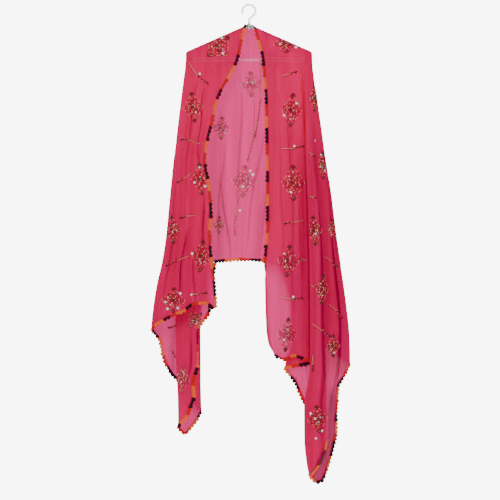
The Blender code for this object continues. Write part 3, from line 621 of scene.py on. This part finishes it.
def chiffon():
    """Sheer crimson cloth: part of the light passes through it, and a little shows what is behind. Painted
    shade darkens its creases and folds, and painted light lines mark the hanger's lower bar.
    """
    constants = {"Alpha": 0.992, "Sheen Weight": 0.03, "Sheen Tint": (1.0, 0.06, 0.20, 1),
                 "Specular IOR Level": 0.05}
    material, tree, shader = shader_of("chiffon_crimson", (0.85, 0.002, 0.10), 0.75, constants)
    streaks = noise(tree, 38.0, (1.0, 1.0, 0.045), 4.0)
    crease = add_node(tree, "Attribute", {})
    crease.attribute_name = PAINTED_SHADE_NAME
    near = ramp_of(tree, streaks, (0.78, 0.001, 0.105), (1.0, 0.003, 0.170))
    # Painted shade darkens the colour along the creases and folds.
    near = mix_colours(tree, crease.outputs["Fac"], near, (0.26, 0.0, 0.04))
    # Painted light lines where the edges of the hanger's lower bar show through the cloth.
    near = mix_colours(tree, painted_bar_lines(tree), near, (1.0, 0.16, 0.30))
    tree.links.new(near, shader.inputs["Base Color"])
    crinkle = noise(tree, 240.0, (1.0, 1.0, 0.14), 4.0)
    weave = noise(tree, 1500.0, (1.0, 1.0, 1.0), 1.0)
    bump(tree, shader, (streaks, crinkle, weave), 0.6, 0.0022)
    far = ramp_of(tree, streaks, (0.84, 0.008, 0.22), (1.0, 0.012, 0.29))
    # The same painted shade darkens the light that passes through.
    far = mix_colours(tree, crease.outputs["Fac"], far, (0.26, 0.001, 0.06))
    through = add_node(tree, "BsdfTranslucent", {"Color": far}).outputs["BSDF"]
    mix = add_node(tree, "MixShader", {"Fac": THROUGH, 1: shader.outputs["BSDF"], 2: through})
    tree.links.new(mix.outputs["Shader"], tree.nodes["Material Output"].inputs["Surface"])
    return material


def varied(name, colour, roughness, inputs, shades, scale, grain, strength, distance):
    """A material whose colour runs between two shades, with a fine grain on its surface."""
    material, tree, shader = shader_of(name, colour, roughness, inputs)
    vary(tree, shader, noise(tree, scale), *shades)
    bump(tree, shader, (noise(tree, *grain),), strength, distance)
    return material


def yarn(name, dark, light):
    return varied(name, light, 0.85, {"Sheen Weight": 0.3, "Sheen Tint": (*light, 1)}, (dark, light), 420.0,
                  (1900.0, (1.0, 1.0, 0.4), 2.0), 0.6, 0.0006)


def plastic(name, alpha):
    return varied(name, (0.86, 0.86, 0.85), 0.42, {"Alpha": alpha, "Coat Weight": 0.1},
                  ((0.80, 0.80, 0.79), (0.88, 0.88, 0.87)), 30.0, (900.0,), 0.08, 0.0004)


ORANGE = yarn("yarn_orange", (1.0, 0.085, 0.004), (1.0, 0.19, 0.02))
RED = yarn("yarn_red", (0.55, 0.003, 0.004), (0.85, 0.010, 0.012))
BLACK = yarn("yarn_maroon_black", (0.010, 0.001, 0.003), (0.045, 0.002, 0.008))
THREADS = (
    yarn("thread_antique_gold", (0.72, 0.23, 0.14), (1.0, 0.43, 0.29)),
    yarn("thread_maroon", (0.085, 0.010, 0.014), (0.24, 0.028, 0.036)),
    yarn("thread_red", (0.50, 0.004, 0.008), (0.75, 0.010, 0.016)),
    varied("sequin_silver", (0.92, 0.90, 0.88), 0.22, {"Metallic": 0.1, "Coat Weight": 0.5},
           ((0.92, 0.86, 0.86), (1.0, 0.98, 0.97)), 260.0, (700.0,), 0.15, 0.0005),
    yarn("thread_rose_seen_from_behind", (0.24, 0.030, 0.050), (0.46, 0.075, 0.110)),
    ORANGE,
)
GOLD, MAROON, SCARLET, SILVER, ROSE, FLAME = range(6)
PLASTIC = plastic("hanger_milky", 0.55)
CLEAR_PLASTIC = plastic("hanger_clear", 0.13)

CLOTH_NODES = ("left_front left_side left_fold left_inner back_panel right_inner right_fold "
               "right_side right_outer right_pleat right_under right_return right_front").split()
stole = mesh_object("stole_cloth", positions, faces, (chiffon(),))
# The painted shade, stored on the cloth's points.
painted_shade_layer = stole.data.attributes.new(PAINTED_SHADE_NAME, "FLOAT", "POINT")
painted_shade_layer.data.foreach_set("value", np.clip(painted_shade, 0, 1))
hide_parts(*CLOTH_NODES)


# ---- rods and yarn
ROD_SIDES, YARN_SIDES = 24, 5


def lengths(rows):
    return np.linalg.norm(rows, axis=1, keepdims=True)


def tube_shape(path, radii, sides):
    """Vertices and faces of a round rod along a path, closed at both ends; one radius or one a place."""
    path = np.asarray(path, dtype=float)
    along = np.gradient(path, axis=0)
    along /= lengths(along)
    first = np.cross(along[0], (0.31, 0.92, 0.22))
    first /= np.linalg.norm(first)
    vertices = []
    for centre, direction, radius in zip(path, along, np.broadcast_to(radii, len(path))):
        first = first - direction * np.dot(first, direction)
        first /= np.linalg.norm(first)
        second = np.cross(direction, first)
        for k in range(sides):
            turn = 2 * math.pi * k / sides
            vertices.append(centre + (first * math.cos(turn) + second * math.sin(turn)) * radius)
    polygons = [(i * sides + k, i * sides + (k + 1) % sides, (i + 1) * sides + (k + 1) % sides,
                 (i + 1) * sides + k) for i in range(len(path) - 1) for k in range(sides)]
    polygons.append(tuple(range(sides - 1, -1, -1)))
    polygons.append(tuple((len(path) - 1) * sides + k for k in range(sides)))
    return np.array(vertices), polygons


def join(vertices, polygons, shape):
    """Add a shape to lists of vertices and faces."""
    start = len(vertices)
    vertices.extend(shape[0])
    polygons.extend(tuple(start + k for k in polygon) for polygon in shape[1])


def rod(name, path, radii, material, node):
    vertices, polygons = tube_shape(path, radii, ROD_SIDES)
    piece = mesh_object(name, vertices, polygons, (material,))
    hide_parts(node)


def hanger_rods():
    """The hook and the frame of the hanger, as in the solids but round, closed flat at the ends, with the
    hook's tip narrowed.
    """
    sweep = HOOK_INSIDE_RADIUS + HOOK_RADIUS
    centre = -HOOK_INSIDE_RADIUS
    stem_head = centre - sweep - HOOK_NECK
    stem_foot = -SHOULDER_BELOW_RAIL - STEM_FOOT
    path = [(0, 0, z) for z in np.linspace(stem_foot, stem_head, 6)]
    for t in np.linspace(0, 1, 13)[1:]:
        path.append((sweep * (3 * t * t - 2 * t ** 3), 0, stem_head + (centre - stem_head) * t))
    for angle in np.linspace(0, HOOK_SWEEP, 46)[1:]:
        path.append((sweep * math.cos(angle), 0, centre + sweep * math.sin(angle)))
    radii = np.full(len(path), HOOK_RADIUS)
    radii[-2:] = (HOOK_RADIUS * 0.9, HOOK_RADIUS * 0.55)
    rod("hook_rod", path, radii, PLASTIC, "hanger_hook")

    bend_top = math.pi / 2 - math.atan(ARM_SLOPE)
    bend_drop = BAR_DROP - BEND_RADIUS
    axis = [(x, arm_drop(x)) for x in np.linspace(ARM_START, ARM_END, 16)]
    for angle in np.linspace(bend_top, -math.pi / 2, 22):
        axis.append((BEND_X + BEND_RADIUS * math.cos(angle), bend_drop - BEND_RADIUS * math.sin(angle)))
    axis.append((BEND_X - ARM_FOOT, BAR_DROP))
    for side, name in ((-1, "left"), (1, "right")):
        path = [(side * x, 0, -SHOULDER_BELOW_RAIL - drop) for x, drop in axis]
        rod("arm_rod_" + name, path, TUBE_RADIUS, PLASTIC, "hanger_arm_" + name)
    reach = BEND_X - ARM_FOOT - SEAM_GAP
    path = [(x, 0, -SHOULDER_BELOW_RAIL - BAR_DROP) for x in np.linspace(-reach, reach, 12)]
    rod("bar_rod", path, TUBE_RADIUS, CLEAR_PLASTIC, "hanger_bar")


hanger_rods()


# ---- crocheted edging
SAME_PLACE = 0.01
STITCH = 14.0  # one scallop of the edging along the edge, in millimetres
POSTS = 5
YARN_RADIUS = 1.4
# Each run: its colour at the start (0 orange, 1/3 red, 2/3 black), its repeats of the three colours,
# and the first and last stretch, or the only one, where it follows the hem.
YARN_RUNS = {
    "neck": (0.7, 0.2), "left_front": (0.9, 7.4), "left_hem": (0.66, 3.0, "left_front"),
    "left_tail": (0.66, 3.0, "left_a", "left_b"), "left_tip": (0.8, 1.2, "left_c"),
    "left_return": (0.0, 4.1), "back": (0.66, 1.4, "back"),
    "right_back": (0.0, 3.0, "right_c", "right_a"), "right_outer": (0.0, 4.35, "right_outer"),
    "right_tail": (0.33, 3.0, "right_pleat", "right_under"),
    "right_hem": (0.0, 3.0, "right_return", "right_tuck"), "right_front": (0.25, 8.5),
}
# Which way is outward, where it isn't down.
OUTWARD = {"neck": (0, 0, 1), "left_front": (1, 0, 0), "left_return": (1, 0, 0), "right_front": (-1, 0, 0)}
# Runs of which the part between two drops is turned behind the cloth.
CURLED = {"left_return": (1088.0, 1236.0)}
CURL = math.radians(115)
CURL_FADE = 20
OUTWARD_EVENED, FACING_EVENED = 7.0, 4.0
REACH_UNEVEN, LIFT_UNEVEN, COLOUR_UNEVEN = 0.10, 0.15, 0.02


def edge_ids(name):
    """Point numbers along one run of edging."""
    if name == "left_front":
        return np.concatenate((arm_ids["left_front"][3:, 0], ids["left_front"][:, 0]))
    if name == "left_return":
        column = ids["left_c"][:, -1]
        free = -positions[column, 2] - SHOULDER_BELOW_RAIL > HEMS["back"][1][0] - TRIM_WIDTH
        return column[free][::-1]
    if name == "right_front":
        return np.concatenate((ids["right_tuck"][::-1, -1], arm_ids["right_tuck"][3:, -1][::-1]))
    if name == "neck":
        shares = fine_columns(ORDER["back"])
        keep = np.abs(shares - 0.5) < NECK_SHARE + 0.001
        return ids["back"][0, keep][::-1]
    first, last = YARN_RUNS[name][2], YARN_RUNS[name][-1]
    run = []
    for stretch in range(ORDER[first], ORDER[last] + 1):
        row = ids[STRETCHES[stretch][0]][-1]
        run.extend(row if not run else row[1:])
    return np.array(run)


def smooth_along(at, values, reach):
    """Even out values along an edge."""
    weights = bell(at[:, None] - at[None, :], reach)
    return weights @ values / weights.sum(axis=1, keepdims=True)


def yarn_shell():
    """One scallop of crochet in (along, outward, height): its yarns as rods."""
    middle = STITCH / 2
    rods = []

    def fan(turn, wide, foot, tall, height):
        return middle + wide * math.cos(turn), foot + tall * math.sin(turn), height

    for k in range(3):  # stitches whipped over the cloth's edge
        x = STITCH * (k + 0.5) / 3
        rods.append(([(x - 1.2, -3.2, 0.9), (x, -1.0, 1.7), (x + 0.9, 0.8, 0.7), (x + 1.0, 0.9, -1.1)],
                     YARN_RADIUS))
    rods.append(([(0, 0.9, 0.2), (middle, 1.1, 0.6), (STITCH, 0.9, 0.2)], YARN_RADIUS * 1.1))
    for k in range(POSTS):  # posts of the fan
        turn = math.pi * (0.12 + 0.76 * k / (POSTS - 1))
        post = [fan(turn, *place)
                for place in ((0.8, 0.9, 0.0, 0.2), (3.4, 1.2, 3.9, 1.8), (5.4, 1.4, 7.4, 0.5))]
        rods.append((post, YARN_RADIUS * 1.15))
    for k in range(POSTS):  # the rim, a bead of yarn over each post
        turn = math.pi * (0.06 + 0.88 * k / (POSTS - 1))
        step = math.pi * 0.11
        bead = [fan(turn + lean, 6.2, 1.3, 8.2, lift)
                for lean, lift in ((step, 0.1), (0.0, 1.6), (-step, 0.1))]
        rods.append((bead, YARN_RADIUS * 1.3))
    vertices, polygons = [], []
    for path, radius in rods:
        join(vertices, polygons, tube_shape(path, radius, YARN_SIDES))
    return np.array(vertices), polygons


SHELL_POINTS, SHELL_FACES = yarn_shell()


def crochet(name):
    run = edge_ids(name)
    line, facing = positions[run], normals[run]
    keep = np.diff(distances(line), prepend=-1.0) > SAME_PLACE
    line, facing = line[keep], facing[keep]
    at = distances(line)
    along = np.gradient(line, at, axis=0)
    outward = np.cross(along, facing)
    if (outward @ np.array(OUTWARD.get(name, (0, 0, -1)))).mean() < 0:
        outward = -outward
    outward = smooth_along(at, outward / lengths(outward), OUTWARD_EVENED)
    outward /= lengths(outward)
    facing = smooth_along(at, facing, FACING_EVENED)
    facing /= lengths(facing)
    if name in CURLED:
        drop = -line[:, 2:] - SHOULDER_BELOW_RAIL
        begin, end = CURLED[name]
        turn = CURL * part_of(drop - begin, CURL_FADE) * part_of(end - drop, CURL_FADE)
        way = 1.0 if facing[:, 1].mean() > 0 else -1.0
        behind = facing * way
        facing = (behind * np.cos(turn) - outward * np.sin(turn)) * way
        outward = outward * np.cos(turn) + behind * np.sin(turn)
    count = max(int(round(at[-1] / STITCH)), 1)
    pitch = at[-1] / count
    local = SHELL_POINTS.copy()
    local[:, 0] *= pitch / STITCH
    place = (local[None, :, 0] + pitch * np.arange(count)[:, None]).ravel()
    uneven = 1 + REACH_UNEVEN * rng.standard_normal((count, 1))
    out = (local[None, :, 1] * uneven).ravel()
    lift = (local[None, :, 2] * (1 + LIFT_UNEVEN * rng.standard_normal((count, 1)))).ravel()
    place = np.clip(place, -1.0, at[-1] + 1.0)

    def read(values):
        return np.stack([np.interp(place, at, values[:, k]) for k in range(3)], axis=-1)

    vertices = read(line) + read(outward) * out[:, None] + read(facing) * lift[:, None]
    polygons = [tuple(k + i * len(local) for k in polygon) for i in range(count) for polygon in SHELL_FACES]
    piece = mesh_object("crochet_" + name, vertices, polygons, (ORANGE, RED, BLACK))
    phase, repeats = YARN_RUNS[name][:2]
    colour = []
    for i in range(count):
        share = (phase + repeats * (i + 0.5) / count + COLOUR_UNEVEN * rng.standard_normal()) % 1.0
        colour.extend([min(int(share * 3), 2)] * len(SHELL_FACES))
    piece.data.polygons.foreach_set("material_index", colour)
    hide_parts("edging_" + name)
    return piece


edgings = [crochet(name) for name in YARN_RUNS]


# ---- embroidery
def stretch_tree(*names):
    wanted = {ORDER[name] for name in names}
    chosen = [face for face, stretch in zip(faces, face_stretch) if stretch in wanted]
    return BVHTree.FromPolygons([Vector(v) for v in positions], chosen)


TREES = {name: stretch_tree(name) for name in ("left_front", "right_front", "right_outer", "back")}
TREES["left_tail"] = stretch_tree("left_a", "left_b", "left_c")
TREES["rear_back"] = TREES["back"]
TREES["rear_left"] = stretch_tree("left_a")
TREES["rear_right"] = stretch_tree("right_a")


def on_cloth(tree, x, z):
    """Where a line of sight meets the cloth, and the cloth's normal turned toward the viewer."""
    way = -1.0 if tree in REAR else 1.0
    hit, normal, _, _ = TREES[tree].ray_cast(Vector((x, -400.0 * way, z)), Vector((0, way, 0)))
    if hit is None:
        return None
    if normal.y * way > 0:
        normal = -normal
    return np.array(hit), np.array(normal)


WRONG_SIDE = ("back", "left_tail")  # cloths that turn their wrong side to the front
stitch_points, stitch_faces, stitch_colours = [], [], []
THREAD_STEP = 4.0  # the length of a stitch between two places where it is laid on the cloth
SEQUIN_SIDES = 14
BEAD = 1.9  # the height of the bead in a sequin's middle
SEQUIN_RINGS = ((0.35, 1.6), (0.75, 1.0), (1.0, 1.3), (1.0, 0.5))  # share of the radius, height
# How far a booti leans, in degrees, its spread, the unevenness of its dashes, and the shares left out.
BOOTI_LEAN = 7
DIAMOND_WIDE, DIAMOND_TALL = 1.1, 1.04
DASH_UNEVEN = 0.024
FRAME_SKIPS, CELL_SKIPS = 0.14, 0.16
# A frame: its reach, the dashes on each side, the gap between them, their width and shades.
FRAMES = ((1.0, 8, 0.20, 3.3, (GOLD, GOLD, MAROON)), (0.84, 5, 0.05, 2.8, (MAROON, SCARLET)),
          (0.66, 6, 0.22, 3.0, (GOLD, MAROON)))
LATTICE = (-0.56, -0.28, 0.0, 0.28, 0.56)
CELLS = (-0.46, -0.16, 0.16, 0.46)
RING_REACH = 0.2


def add_shape(shape, colour):
    join(stitch_points, stitch_faces, shape)
    stitch_colours.extend([colour] * len(shape[1]))


def satin(tree, a, b, width, colour):
    """A stitch of thread between two places, (x, z), lying on the face of the cloth turned toward the
    viewer.
    """
    if tree in WRONG_SIDE and colour != GOLD:
        colour = ROSE
        width *= 0.85
    path = []
    count = max(int(math.hypot(b[0] - a[0], b[1] - a[1]) / THREAD_STEP), 2)
    for t in np.linspace(0, 1, count + 1):
        found = on_cloth(tree, a[0] + (b[0] - a[0]) * t, a[1] + (b[1] - a[1]) * t)
        if found is None:
            return
        lean = found[1]
        path.append(found[0] + lean * (0.35 + 0.35 * math.sin(math.pi * t)))
    radii = width / 2 * (0.55 + 0.45 * np.sin(math.pi * np.linspace(0.08, 0.92, count + 1)))
    add_shape(tube_shape(path, radii, YARN_SIDES), colour)


def disc_shape(centre, first, second, out, top, rings, sides):
    """Vertices and faces of a round disc: a point in the middle and rings of (radius, height) round it."""
    vertices = [centre + out * top]
    for radius, height in rings:
        for k in range(sides):
            turn = 2 * math.pi * k / sides
            vertices.append(centre + (first * math.cos(turn) + second * math.sin(turn)) * radius
                            + out * height)
    polygons = [(0, 1 + k, 1 + (k + 1) % sides) for k in range(sides)]
    for ring in range(len(rings) - 1):
        a = 1 + ring * sides
        b = a + sides
        polygons += [(a + k, b + k, b + (k + 1) % sides, a + (k + 1) % sides) for k in range(sides)]
    return np.array(vertices), polygons


def spangle(tree, x, z, radius=4.8):
    """A cupped sequin with a bead in its middle."""
    found = on_cloth(tree, x, z)
    if found is None:
        return
    centre, normal = found
    first = np.cross(normal, (0, 0, 1))
    first /= np.linalg.norm(first)
    rings = [(radius * share, height) for share, height in SEQUIN_RINGS]
    second = np.cross(normal, first)
    add_shape(disc_shape(centre, first, second, normal, BEAD, rings, SEQUIN_SIDES), SILVER)


def place_of(px, py):
    return (px - FRAME_X) * PX, -SHOULDER_BELOW_RAIL - (py - FRAME_Y) * PX


def booti(tree, px, py, wide, tall, sequins=(), square=False):
    """A diamond, or a square, of frames and a lattice, with stitches in its cells, a ring and sequins."""
    cx, cz = place_of(px, py)
    lean = math.radians(rng.uniform(-BOOTI_LEAN, BOOTI_LEAN))

    def at(u, v):
        if square:
            x, z = u * wide * PX, v * tall * PX
        else:
            x, z = (u - v) / 2 * wide * PX * DIAMOND_WIDE, (u + v) / 2 * tall * PX * DIAMOND_TALL
        return cx + x * math.cos(lean) - z * math.sin(lean), cz + x * math.sin(lean) + z * math.cos(lean)

    def dash(a, b, width, colour):
        a, b = [np.array(end) + rng.normal(0, DASH_UNEVEN, 2) for end in (a, b)]
        satin(tree, at(*a), at(*b), width, colour)

    for reach, dashes, gap, width, shades in FRAMES:
        corners = ((-reach, -reach), (reach, -reach), (reach, reach), (-reach, reach))
        for k in range(4):
            a, b = np.array(corners[k]), np.array(corners[(k + 1) % 4])
            for i in range(dashes):
                if rng.random() > FRAME_SKIPS:
                    dash(a + (b - a) * (i + gap) / dashes, a + (b - a) * (i + 1 - gap) / dashes, width,
                         shades[(i + k) % len(shades)])
    for line in LATTICE:
        for i in range(3):
            a, b = -0.66 + 0.46 * i, -0.66 + 0.46 * i + 0.40
            dash((line, a), (line, b), 2.6, MAROON)
            dash((a, line), (b, line), 2.6, MAROON if i % 2 else SCARLET)
    for i, u in enumerate(CELLS):
        for j, v in enumerate(CELLS):
            if rng.random() < CELL_SKIPS:
                continue
            way = 1 if (i + j) % 2 else -1
            dash((u - 0.09, v - 0.09 * way), (u + 0.09, v + 0.09 * way), 3.8,
                 (GOLD, GOLD, SCARLET, GOLD, MAROON)[(2 * i + j) % 5])
    for k in range(4):  # a ring in the middle
        turn = math.pi * (k / 2 + 0.25)
        a, b = [(RING_REACH * math.cos(angle), RING_REACH * math.sin(angle))
                for angle in (turn, turn + math.pi / 2)]
        dash(a, b, 3.0, MAROON)
    for way in (-1, 1):  # a dark leaf at the top and the foot
        for spread in (-0.26, -0.09, 0.09, 0.26):
            foot = (way * (0.78 - spread), way * (0.78 + spread))
            tip = (way * (1.10 - spread / 5), way * (1.10 + spread / 5))
            dash(foot, tip, 3.4, MAROON)
    for _ in range(4):
        u, v = rng.uniform(-0.75, 0.75, 2)
        x, z = at(u, v)
        spangle(tree, x, z, 2.2)
    for sx, sy in sequins:
        x, z = place_of(sx, sy)
        spangle(tree, x, z)


def sprig(tree, a, b, sequin_at=None):
    """A stem, pale and then dark, with a knot halfway and a leaf at its dark end."""
    ax, az = place_of(*a)
    bx, bz = place_of(*b)
    length = math.hypot(bx - ax, bz - az)
    along = np.array(((bx - ax) / length, (bz - az) / length))
    side = np.array((along[1], -along[0]))
    start = np.array((ax, az))
    count = max(int(length / 6.5), 3)
    bend = 0.08 * length * rng.uniform(-1, 1)

    def place(t, off=0.0):
        return tuple(start + along * length * t + side * (bend * math.sin(math.pi * t) + off))

    for k in range(count):
        t0, t1 = k / count, (k + 0.9) / count
        pale = t0 < 0.5
        satin(tree, place(t0), place(t1), 2.8 if pale else 3.8, GOLD if pale else MAROON)
        satin(tree, place(t0, 2.5), place(t1, 2.5), 1.8, MAROON if pale or k % 2 else GOLD)
    for k in range(3):  # the knot
        turn = math.pi * (0.2 + k / 3)
        reach = np.array((math.cos(turn), math.sin(turn))) * 4.8
        knot = np.array(place(0.5))
        satin(tree, tuple(knot - reach), tuple(knot + reach), 3.4, (GOLD, MAROON, SCARLET)[k])
    leaf = min(14.0, 0.34 * length)
    for off in (-3.4, -1.2, 1.2, 3.4):
        satin(tree, place(1 - leaf / length), place(1 - leaf / length * 0.4, off), 3.4, MAROON)
    if sequin_at:
        x, z = place_of(*sequin_at)
        spangle(tree, x, z, 4.0)


# The bootis of each cloth, in the photo's pixels: centre, half width, half height, sequins, square.
BOOTIS = {
    "left_front": (
        (218.5, 47, 9.5, 9, ((222, 38.5), (223, 54)), True), (193.5, 108, 9, 13.5),
        (201, 180, 8.5, 14, ((200, 168), (195, 183), (205.5, 187))), (173, 230, 6.5, 12.5),
        (202, 256, 8.5, 14, ((192.7, 253.6),)),
        (174, 300, 11, 11, ((166, 302), (181, 293), (178.6, 307.5), (168, 308.6))),
    ),
    "left_tail": (
        (195.5, 320, 5.5, 6.5, (), True), (182, 380, 7, 12),
    ),
    "right_front": (
        (286, 44, 12, 8, ((280, 44.5), (296, 47.5))), (291.5, 111, 9.5, 15, ((284, 116), (296.5, 104))),
        (293, 183.5, 11, 15.5, ((290.5, 193),)), (288, 261, 10, 14, ((284, 253.5), (285.4, 261))),
        (286.5, 334, 8.5, 15, ((283.5, 339),)),
    ),
    "right_outer": (
        (314, 99, 4, 12), (322.5, 166, 5, 12, ((321, 155.5), (320, 167), (324.5, 171))),
        (313.5, 231, 7, 13, ((315, 234),)), (331, 229, 3, 9), (321.5, 289, 5.5, 13.5),
        (332.5, 345, 6, 10, ((333.4, 352),)),
        (317, 417, 9.5, 12, ((310, 411.6), (314.4, 416.4), (321, 428.4))),
    ),
    "back": (
        (251, 84, 10, 11), (221.5, 128, 8.5, 10),
        (244, 181, 12, 14, ((250, 171), (253, 174.5), (243, 187))), (219, 225, 5, 8),
    ),
}
# The sprigs of each cloth: pale end, dark end and sequin.
SPRIGS = {
    "left_front": (
        ((189, 63), (209, 85), (200, 74.5)), ((200, 145), (180, 140)), ((191, 174), (176, 183.5)),
        ((195, 215.5), (180, 218.5)), ((189, 256), (166, 266.5)),
        ((190, 295), (208, 292.5), (192, 294.5)),
    ),
    "left_tail": (((168, 345), (176, 360)),),
    "right_front": (
        ((281, 77), (298, 72)), ((281, 149.5), (304, 146.5), (294, 147)), ((303, 220.5), (283, 224)),
        ((280, 296.5), (303, 297.5), (293, 296.5)), ((306, 260), (298, 258.6)),
    ),
    "right_outer": (
        ((308, 153), (315, 159), (314.6, 141.5)), ((309, 197), (316, 199)), ((324, 257), (337, 268)),
        ((310.5, 285), (316, 287)), ((328, 304), (342, 318)), ((311, 323), (331, 337)),
        ((311.5, 354), (312, 370), (315, 436)),
    ),
    "back": (((261, 60), (255, 138)), ((255, 98), (247, 162)), ((242, 196), (235, 236), (240, 210.5)),),
}
# The same work over the sides that the photo hides, spaced as on the front.
REAR = {
    "rear_back": ((281, 140, 8, 14), (280, 224, 8, 13), (226, 62, 10, 9), (272, 62, 9, 9)),
    "rear_left": ((196, 92, 8, 13), (186, 158, 9, 14), (184, 226, 9, 14), (176, 292, 9, 14)),
    "rear_right": (
        (304, 92, 8, 13), (314, 160, 9, 14), (318, 228, 9, 14), (326, 296, 9, 14), (330, 348, 7, 10),
    ),
}
for work, places in ((booti, BOOTIS), (sprig, SPRIGS)):
    for tree, rows in places.items():
        for row in rows:
            work(tree, *row)
for tree, rows in REAR.items():
    for px, py, wide, tall in rows:
        booti(tree, px, py, wide, tall, ((px - 2, py - 3), (px + 3, py + 4)))
        if tree != "rear_back":
            drop = rng.uniform(-8, 8)
            sprig(tree, (px + 9, py + 33 - drop), (px - 9, py + 33 + drop))

# The edging of the flap that is turned up at the right tip, as short thick stitches.
FLAP_CORNERS = ((326, 439), (324, 449), (318.5, 462), (310.5, 472.5))
FLAP_EDGE = np.array([place_of(*corner) for corner in FLAP_CORNERS])
FLAP_STITCHES = 13
for k in range(FLAP_STITCHES):
    shade = MAROON if 0.25 < k / FLAP_STITCHES < 0.62 else FLAME
    ends = [tuple(np.interp(3 * t, range(4), FLAP_EDGE[:, axis]) for axis in (0, 1))
            for t in ((k - 0.1) / FLAP_STITCHES, (k + 1.1) / FLAP_STITCHES)]
    satin("right_outer", ends[0], ends[1], 9.0, shade)
    satin("right_outer", (ends[0][0] + 5, ends[0][1] + 1), (ends[0][0] - 4, ends[0][1] - 6), 5.0, shade)

embroidery = mesh_object("embroidery", stitch_points, stitch_faces, THREADS)
embroidery.data.polygons.foreach_set("material_index", stitch_colours)

# ---- stage, light and camera
FLOOR = -1.93  # in metres, like all of the stage
FLOOR_RADIUS = 0.8
FLOOR_SIDES = 96
LIT_BY, SEEN_AS = 0.55, 8.0  # the world's strength as a light, and as the background
AIM = (0, 0, -0.88)


def floor():
    """A pale round floor under the stole."""
    rings = ((FLOOR_RADIUS, 0.0), (FLOOR_RADIUS + 0.01, -0.004), (FLOOR_RADIUS + 0.01, -0.03))
    x, y, z = np.eye(3)
    vertices, polygons = disc_shape(z * FLOOR, x, y, z, 0.0, rings, FLOOR_SIDES)
    mesh = mesh_of("studio_floor", vertices, polygons)
    material, tree, shader = shader_of("studio_white", (0.93, 0.93, 0.93), 0.9, {})
    vary(tree, shader, noise(tree, 2.0), (0.92, 0.92, 0.92), (0.94, 0.94, 0.94))
    mesh.materials.append(material)
    disc = add_object("studio_floor", mesh)


floor()


def area_light(name, place, size, power):
    lamp = bpy.data.lights.new(name, "AREA")
    lamp.shape = "RECTANGLE"
    lamp.size, lamp.size_y = size
    lamp.energy = power
    thing = add_object(name, lamp)
    thing.location = place
    thing.rotation_euler = (Vector(AIM) - Vector(place)).to_track_quat("-Z", "Y").to_euler()


area_light("key", (-2.5, -2.9, 0.7), (1.6, 1.8), 92)
area_light("fill", (2.4, -3.0, -0.3), (2.0, 2.0), 38)
area_light("rear", (0.6, 3.2, 0.7), (2.6, 2.6), 160)
world = bpy.data.worlds.new("studio")
world.use_nodes = True
sky = world.node_tree
ray = add_node(sky, "LightPath", {}).outputs["Is Camera Ray"]
lit, seen = [add_node(sky, "Background", {"Color": (1, 1, 1, 1), "Strength": strength})
             for strength in (LIT_BY, SEEN_AS)]
mix = add_node(sky, "MixShader", {"Fac": ray, 1: lit.outputs[0], 2: seen.outputs[0]})
sky.links.new(mix.outputs["Shader"], sky.nodes["World Output"].inputs["Surface"])
bpy.context.scene.world = world

camera_data = bpy.data.cameras.new("camera")
camera_data.lens = 100
camera_data.sensor_width = 36
camera = add_object("camera", camera_data)
camera.location = (0.0036, -5.0, -0.879)
camera.rotation_euler = (math.pi / 2, 0, 0)
bpy.context.scene.camera = camera
